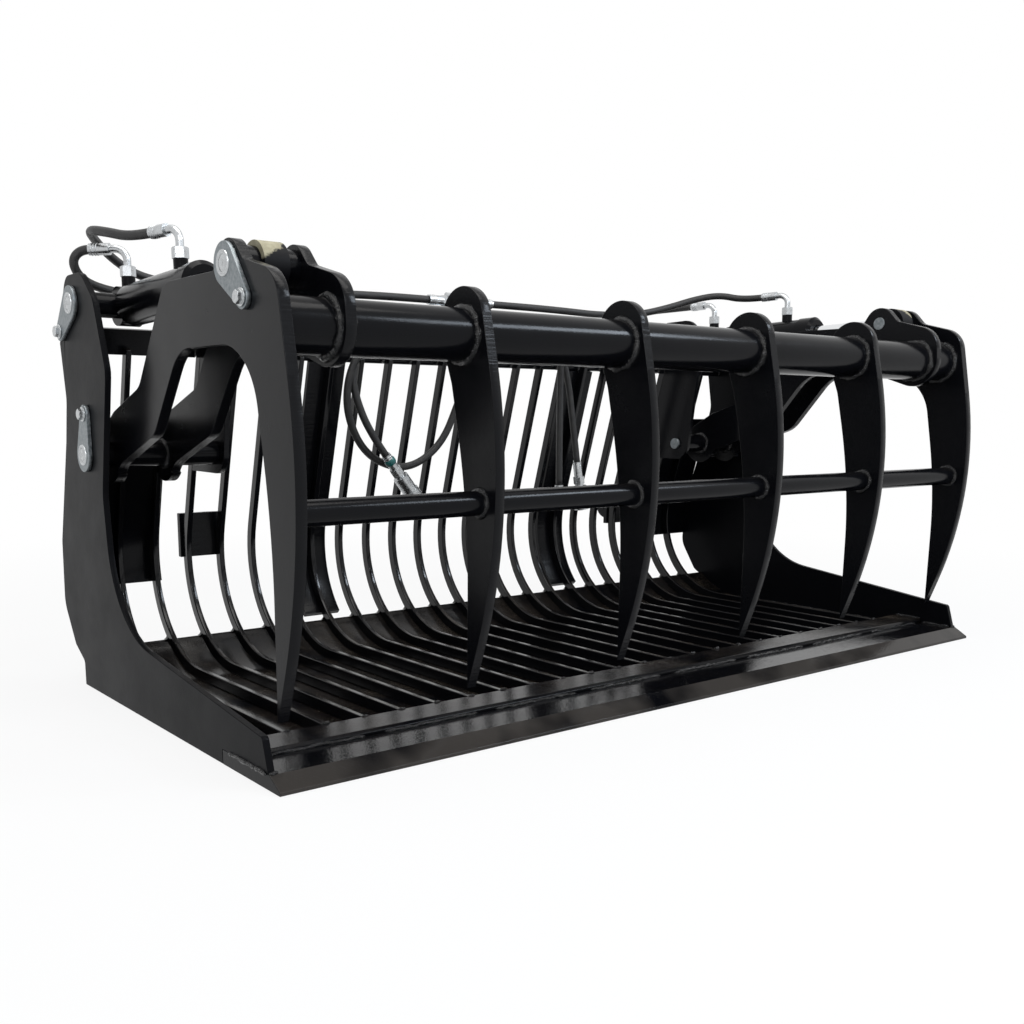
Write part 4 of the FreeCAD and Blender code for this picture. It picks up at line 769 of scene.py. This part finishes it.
# %% Inside or outside a solid
RAY_WAY = Vector((0.0, 0.832, 0.555))
RAY_STEP, MOST_CROSSINGS = 0.00002, 60


def solid_test(name):
    """A function that says whether a point is within that node's solid."""
    surface = surface_of(name)

    def within(point):
        crossed, spot = 0, point
        while crossed < MOST_CROSSINGS:
            hit = surface.ray_cast(spot, RAY_WAY)
            if hit[0] is None:
                break
            crossed += 1
            spot = hit[0] + RAY_WAY * RAY_STEP
        return crossed % 2 == 1

    return within


# %% Tools for beads
ALONG_X, ALONG_Y, ALONG_Z = Vector((1, 0, 0)), Vector((0, 1, 0)), Vector((0, 0, 1))
BEAD_SIDES, BEAD_STEP, BEAD_SWAY = 8, 0.0028, 0.0018
PROBE, SHORTEST_RUN = 0.004, 4


class Beads:
    """Many beads that become one mesh on one body."""

    def __init__(self):
        self.places, self.faces, self.along = [], [], []

    def lay(self, path, radius, hub):
        """One bead along path. hub is a direction that the path never takes."""
        gone, first, last = 0.0, len(self.places), len(path) - 1
        for i, here in enumerate(path):
            ahead = (path[min(i + 1, last)] - path[max(i - 1, 0)]).normalized()
            side = ahead.cross(hub).normalized()
            other = side.cross(ahead)
            gone += (here - path[i - 1]).length if i else 0.0
            swell = 1 + 0.42 * noise.noise(here * 85) + 0.24 * noise.noise(here * 260)
            swell *= min(1.0, 0.35 + 0.3 * min(i, last - i))
            sway = side * noise.noise(here * 60) + other * noise.noise(here * 71)
            middle = here + sway * BEAD_SWAY
            self.places += [middle + way * radius * swell
                            for way in circle(side, other, BEAD_SIDES)]
            self.along += [gone] * BEAD_SIDES
        self.faces += skin(first, len(path), BEAD_SIDES, outward=True)
        self.faces.append(tuple(first + j for j in range(BEAD_SIDES)))
        self.faces.append(tuple(len(self.places) - 1 - j for j in range(BEAD_SIDES)))

    def straight(self, start, end, radius, hub, step=BEAD_STEP):
        """One bead on a straight seam."""
        start, end = Vector(start), Vector(end)
        count = max(4, round((end - start).length / step))
        self.lay([start.lerp(end, i / count) for i in range(count + 1)], radius, hub)

    def ring(self, plate, across, inward, centre, radius, size):
        """A bead round a tube along X, at a plate's face, where the plate is."""
        within = solid_test(plate)
        count = round(2 * math.pi * radius / BEAD_STEP)
        hub = Vector((0, *centre))
        face, inside = Vector((across, 0, 0)), Vector((across + inward * PROBE, 0, 0))
        spots, kept = [], []
        for way in circle(ALONG_Y, ALONG_Z, count):
            spots.append(face + hub + way * radius)
            kept.append(within(inside + hub + way * (radius + PROBE)))
        if all(kept):
            self.lay(spots + spots[:3], size, ALONG_X)
            return
        if any(kept):
            self.runs(spots, kept, size)

    def runs(self, spots, kept, size):
        """A bead on each unbroken run of kept spots, starting where one begins."""
        count = len(spots)
        turn = next(i for i in range(count) if kept[i] and not kept[i - 1])
        run = []
        for i in range(turn, turn + count + 1):
            if kept[i % count] and i < turn + count:
                run.append(spots[i % count])
            else:
                if len(run) > SHORTEST_RUN:
                    self.lay(run, size, ALONG_X)
                run = []

    def piece(self, name, body):
        """The one mesh of all the beads, on its body."""
        item = new_piece(name, self.places, self.faces, {"along": self.along})
        item.data.materials.append(weld_paint)
        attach(item, body)
        print(name, len(self.faces), "faces")


# %% [markdown]
# ## Beads on the grapple
#
# The torque tube and the lower tube pass through the tines and the inner arms, and short
# pivot tubes join the inner arms and the end tines. Each crossing is welded round the
# tube on both faces of the plate, apart from the outside of the end tines, left bare.

# %% Beads on the grapple
TORQUE, LOWER, PIVOT = (-0.409, 0.698), (-0.460, 0.418), (0.249, 0.483)
TORQUE_RADIUS, LOWER_RADIUS, PIVOT_RADIUS = 0.04445, 0.0212, 0.025
TORQUE_BEAD, LOWER_BEAD, PIVOT_BEAD = 0.0078, 0.0062, 0.0065
PLATE_FACE, OUTSIDE, ARMS_FROM = 0.0102, 0.95, 0.8
PLATES = (("tine_1", -0.567), ("tine_2", -0.189), ("tine_3", 0.189), ("tine_4", 0.567),
          ("inner_arm_left", -0.833), ("inner_arm_right", 0.833),
          ("end_tine_left", -0.945), ("end_tine_right", 0.945))

grapple_welds = Beads()
for plate, middle in PLATES:
    for face in (-1, 1):
        across = middle + face * PLATE_FACE
        if abs(across) > OUTSIDE:
            continue
        grapple_welds.ring(plate, across, -face, TORQUE, TORQUE_RADIUS, TORQUE_BEAD)
        grapple_welds.ring(plate, across, -face, LOWER, LOWER_RADIUS, LOWER_BEAD)
        if abs(middle) > ARMS_FROM:
            grapple_welds.ring(plate, across, -face, PIVOT, PIVOT_RADIUS, PIVOT_BEAD)
grapple_welds.piece("grapple_weld_beads", "grapple")

# %% [markdown]
# ## Beads on the bucket
#
# The bucket's seams are straight: a broken seam behind the front strip, the edge and the
# floor against the side plates, the beam against its end plates, and a short bead at
# each end of each bar. The seams of the sides are written once and mirrored.

# %% Beads along the edge and the sides
STITCHES, STITCH_START, STITCH_PITCH, STITCH_LENGTH = 8, -0.978, 0.247, 0.205
STITCH_SEAM, STITCH_BEAD = (-0.3975, 0.0258), 0.0036
# start, end, radius, and a direction that the seam never takes, on the right side
SIDE_SEAMS = (
    ((0.9872, -0.474, 0.0256), (0.9872, -0.400, 0.0256), 0.0045, ALONG_X),
    ((0.9872, -0.394, 0.0356), (0.9872, -0.322, 0.0356), 0.0040, ALONG_X),
    ((0.9872, -0.318, 0.0122), (0.9872, 0.195, 0.0122), 0.0042, ALONG_X),
    ((0.9872, 0.3262, 0.683), (0.9872, 0.3140, 0.729), 0.0042, ALONG_X),
    ((1.0002, -0.474, 0.0255), (1.0002, -0.345, 0.0255), 0.0040, ALONG_X),
    ((0.9995, -0.4815, 0.0262), (0.984, -0.4815, 0.0262), 0.0045, ALONG_Z),
    ((0.7158, 0.3268, 0.683), (0.7158, 0.3004, 0.781), 0.0046, ALONG_X),
    ((0.7158, 0.303, 0.7885), (0.7158, 0.333, 0.7962), 0.0046, ALONG_X),
    ((0.7295, 0.3262, 0.683), (0.7295, 0.3140, 0.729), 0.0042, ALONG_X),
)

bucket_welds = Beads()
for stitch in range(STITCHES):
    left = STITCH_START + stitch * STITCH_PITCH
    bucket_welds.straight((left, *STITCH_SEAM), (left + STITCH_LENGTH, *STITCH_SEAM),
                          STITCH_BEAD, ALONG_Z)
for side in (-1, 1):
    for start, end, radius, hub in SIDE_SEAMS:
        bucket_welds.straight((side * start[0], *start[1:]), (side * end[0], *end[1:]),
                              radius, hub)

# %% Beads at the ends of the bars
BAR_PITCH = 0.080300
BARS = range(-11, 12)
BEAM_WITHIN = 0.7
FOOT_HALF, FOOT_SEAM, FOOT_BEAD = 0.0075, (-0.3212, 0.0346), 0.0034
HEAD_HALF, HEAD_SEAM, HEAD_BEAD = 0.0095, (0.3240, 0.6945), 0.0052
FLANK, FLANK_LOW, FLANK_HIGH, FLANK_BEAD = 0.0075, (0.3272, 0.6825), (0.3238, 0.6952), 0.0050
FINE_STEP, HEAD_STEP = 0.0015, 0.0016

for bar in BARS:
    across = bar * BAR_PITCH
    bucket_welds.straight((across - FOOT_HALF, *FOOT_SEAM), (across + FOOT_HALF, *FOOT_SEAM),
                          FOOT_BEAD, ALONG_Z, FINE_STEP)
    if abs(across) < BEAM_WITHIN:
        bucket_welds.straight((across - HEAD_HALF, *HEAD_SEAM), (across + HEAD_HALF, *HEAD_SEAM),
                              HEAD_BEAD, ALONG_Z, HEAD_STEP)
        for edge in (-FLANK, FLANK):
            bucket_welds.straight((across + edge, *FLANK_LOW), (across + edge, *FLANK_HIGH),
                                  FLANK_BEAD, ALONG_X, FINE_STEP)
bucket_welds.piece("bucket_weld_beads", "root")

# %% [markdown]
# ## Small hollow corners at the bars
#
# Where a bar passes the floor plate's upturned lip, the corner of the gap is a small
# hollow round. A short prism with an arc for one side fills it. The lip's place is read
# from the CAD mesh, so the prisms sit on it.

# %% Fillets where the bars meet the lip
FILLET, BAR_HALF, LIP_HALF = 0.0075, 0.0058, 0.0048
ARC_STEPS, OVERLAP, LIP_BAND = 6, 0.001, 0.002

floor_points = [vertex.co for vertex in nodes["floor_plate"].data.vertices]
floor_top = max(place.z for place in floor_points)
lip = [place.y for place in floor_points if place.z > floor_top - LIP_BAND]
lip = sum(lip) / len(lip)
print("floor plate top", round(floor_top, 4), "at", round(lip, 4))
bends = [math.pi / 2 * i / ARC_STEPS for i in range(ARC_STEPS + 1)]
corner = [(-OVERLAP, -OVERLAP)]
corner += [(FILLET - FILLET * math.cos(bend), FILLET - FILLET * math.sin(bend)) for bend in bends]
places, faces = [], []
for bar in BARS:
    for side in (-1, 1):
        first, count = len(places), len(corner)
        for back in (-LIP_HALF, LIP_HALF):
            for aside, rise in corner:
                places.append((bar * BAR_PITCH + side * (BAR_HALF + aside), lip + back,
                               floor_top + rise))
        front = [first + i for i in range(count)]
        rear = [first + count + i for i in range(count)]
        walls = [(front[i - 1], front[i], rear[i], rear[i - 1]) for i in range(count)]
        made = [tuple(front[::-1]), tuple(rear)] + walls
        faces += made if side > 0 else [face[::-1] for face in made]
fillets = new_piece("bar_corner_fillets", places, faces, {})
fillets.data.shade_flat()
fillets.data.materials.append(floor_paint)
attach(fillets, "root")

# %% [markdown]
# ## Pin ends
#
# A pin's end is turned: a low disc with a groove round its centre hole. Its outline is a
# list of radius and height, which is carried round the pin's line. The left and the
# right ends are mirror images, so the left one's faces are turned about to look out.

# %% Pin ends on the flags
# radius, height above the flag
PIN_OUTLINE = ((0.0206, -0.0004), (0.0200, 0.0018), (0.0190, 0.0024), (0.0172, 0.0024),
               (0.0164, 0.0006), (0.0128, 0.0004), (0.0120, 0.0020), (0.0045, 0.0023),
               (0.0032, 0.0006), (0, 0.0005))
PIN_STEPS = 40
BASE_PIN = (0.283, 0.773)
SIDE_FLAG, ARM_FLAG = 1.0083, 0.9633


def pin_end(name, across, centre, way, body):
    """The turned end of a pin, level with its flag. way is -1 at the left, 1 at the right."""
    places = []
    for radius, height in PIN_OUTLINE:
        for i in range(PIN_STEPS):
            angle = 2 * math.pi * i / PIN_STEPS
            places.append((across + way * height, centre[0] + radius * math.cos(angle),
                           centre[1] + radius * math.sin(angle)))
    faces = skin(0, len(PIN_OUTLINE), PIN_STEPS)
    if way < 0:
        faces = [face[::-1] for face in faces]
    item = new_piece(name, places, faces, {})
    item.data.materials.append(zinc)
    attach(item, body)


for side, word in ((-1, "left"), (1, "right")):
    pin_end("base_pin_end_" + word, side * SIDE_FLAG, BASE_PIN, side, "root")
    pin_end("pivot_pin_end_" + word, side * SIDE_FLAG, PIVOT, side, "root")
    pin_end("upper_pin_end_" + word, side * ARM_FLAG, UPPER_PIN, side, "grapple")

# %% [markdown]
# ## Crimp ridges
#
# A ferrule is pressed onto the hose by jaws, which leave low ridges round it. A ray from
# outside feels the ferrule's radius, so the ridges always sit on the CAD surface. Where
# the ray finds no ferrule, there is no ridge.

# %% Crimp ridges on the ferrules
RIDGES = (0.006, 0.0115, 0.017)
RIDGE_STEPS, RIDGE_SIDES = 28, 6
RIDGE_HEIGHT, RIDGE_HALF = 0.0007, 0.0012
FEEL_FROM, FEEL_DEPTH = 0.03, 0.022


def crimp_ridges(name, node, end, ahead, body):
    """Three low ridges round a ferrule, measured back from the end where the hose leaves."""
    surface = surface_of(node)
    side = ahead.orthogonal().normalized()
    other = ahead.cross(side)
    places, faces = [], []
    for ridge in RIDGES:
        middle = end - ahead * ridge
        hit = surface.ray_cast(middle + other * FEEL_FROM, -other)
        if hit[0] is None or hit[3] > FEEL_DEPTH:
            continue
        radius = FEEL_FROM - hit[3]
        faces += skin(len(places), RIDGE_STEPS, RIDGE_SIDES, outward=True, closed=True)
        for way in circle(side, other, RIDGE_STEPS):
            for j in range(RIDGE_SIDES):
                bend = 2 * math.pi * j / RIDGE_SIDES
                places.append(middle + way * (radius + RIDGE_HEIGHT * math.cos(bend))
                              + ahead * RIDGE_HALF * math.sin(bend))
    if places:
        item = new_piece(name, places, faces, {})
        item.data.materials.append(zinc)
        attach(item, body)
        print(name, "at radius", round(radius, 4))


for name, route in ROUTES.items():
    first, second, before, last = [Vector(route[i]) for i in (0, 1, -2, -1)]
    leaving = (second - first).normalized()
    arriving = (before - last).normalized()
    if name in HOSE_ENDS:
        crimp_ridges(name + "_block_crimp", "hose_block", first, leaving, "root")
        crimp_ridges(name + "_end_crimp", HOSE_ENDS[name], last, arriving, "root")
    else:
        word = "left" if "left" in name else "right"
        crimp_ridges(name + "_crimp", "cylinder_elbows_" + word, first, leaving, "barrel_" + word)
        crimp_ridges(name + "_block_crimp", "hose_block", last, arriving, "root")

# %% [markdown]
# ## The coloured band
#
# The first coupler carries a band of coloured plastic with low ribs for the fingers.
# Every third point of its wall stands out a little, which is enough to make the ribs.

# %% Dust band on the first coupler
# radius, way along the coupler
BAND_OUTLINE = ((0.0110, 0.0), (0.0132, 0.0006), (0.0138, 0.003), (0.0138, 0.012),
                (0.0128, 0.0145), (0.0112, 0.015))
BAND_STEPS, BAND_START = 36, 0.006
RIB, RIB_FROM, RIB_TO = 0.03, 0.002, 0.013

neck, far = Vector((-0.2640, 0.290, 0.4620)), Vector((-0.1930, 0.290, 0.3790))
ahead = (far - neck).normalized()
side = ahead.orthogonal().normalized()
places = []
for radius, gone in BAND_OUTLINE:
    ribbed = RIB_FROM < gone < RIB_TO
    for i, way in enumerate(circle(side, ahead.cross(side), BAND_STEPS)):
        grip = 1 + (RIB if i % 3 == 0 and ribbed else 0.0)
        places.append(neck + ahead * (gone + BAND_START) + way * radius * grip)
cap_plastic, tree, shader, place = finish("teal_plastic", (0.010, 0.10, 0.095), 0.38)
tree.links.new(blend_value(tree, noise_node(tree, place, 300.0), 0.30, 0.46),
               shader.inputs["Roughness"])
dust_band = new_piece("coupler_dust_band", places, skin(0, len(BAND_OUTLINE), BAND_STEPS), {})
dust_band.data.materials.append(cap_plastic)
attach(dust_band, "root")

# %% [markdown]
# ## Edges
#
# A real plate has no knife edge. Its corners catch a thin line of light, and that line
# is half of what makes a dark machine readable. A Bevel modifier makes it without
# touching the CAD mesh: points that lie together are joined first, or each face would
# be cut by itself. On the pins, triangles in one plane are merged too. Tubes, cylinders
# and hoses get even shading and no bevel.

# %% Round the edges of the plates
JOIN = 0.00002
CREASE, FLAT, SHARP = math.radians(28), math.radians(0.6), math.radians(38)
PLATE_EDGE, BAR_EDGE, FLAG_EDGE, PIN_EDGE = 0.0012, 0.0022, 0.0006, 0.0008
ROUND_NODES = ("cylinder", "rod_eye", "barrel_eye", "torque", "lower", "pivot_tube", "hose",
               "quick", "supply")


def soften(item, width, segments=2, flat=False):
    """Joins the split points of a CAD mesh, rounds its sharp edges and smooths the rest."""
    item.modifiers.new("join", "WELD").merge_threshold = JOIN
    if flat:
        whole = item.modifiers.new("whole", "DECIMATE")
        whole.decimate_type = "DISSOLVE"
        whole.angle_limit = FLAT
    edge = item.modifiers.new("edge", "BEVEL")
    edge.width = width
    edge.segments = segments
    edge.limit_method = "ANGLE"
    edge.angle_limit = SHARP
    edge.use_clamp_overlap = False
    edge.harden_normals = True
    edge.miter_outer = "MITER_ARC"


for name, item in nodes.items():
    if name.startswith(ROUND_NODES):
        item.modifiers.new("join", "WELD").merge_threshold = JOIN
        item.modifiers.new("crease", "EDGE_SPLIT").split_angle = CREASE
        item.modifiers.new("even", "WEIGHTED_NORMAL").keep_sharp = True
    elif name.startswith("grid_bars"):
        soften(item, BAR_EDGE, segments=3)
    elif name.startswith(("arm_flag", "side_plate_flag")):
        soften(item, FLAG_EDGE)
    elif "_pin_" in name:
        soften(item, PIN_EDGE, flat=True)
    else:
        soften(item, PLATE_EDGE)
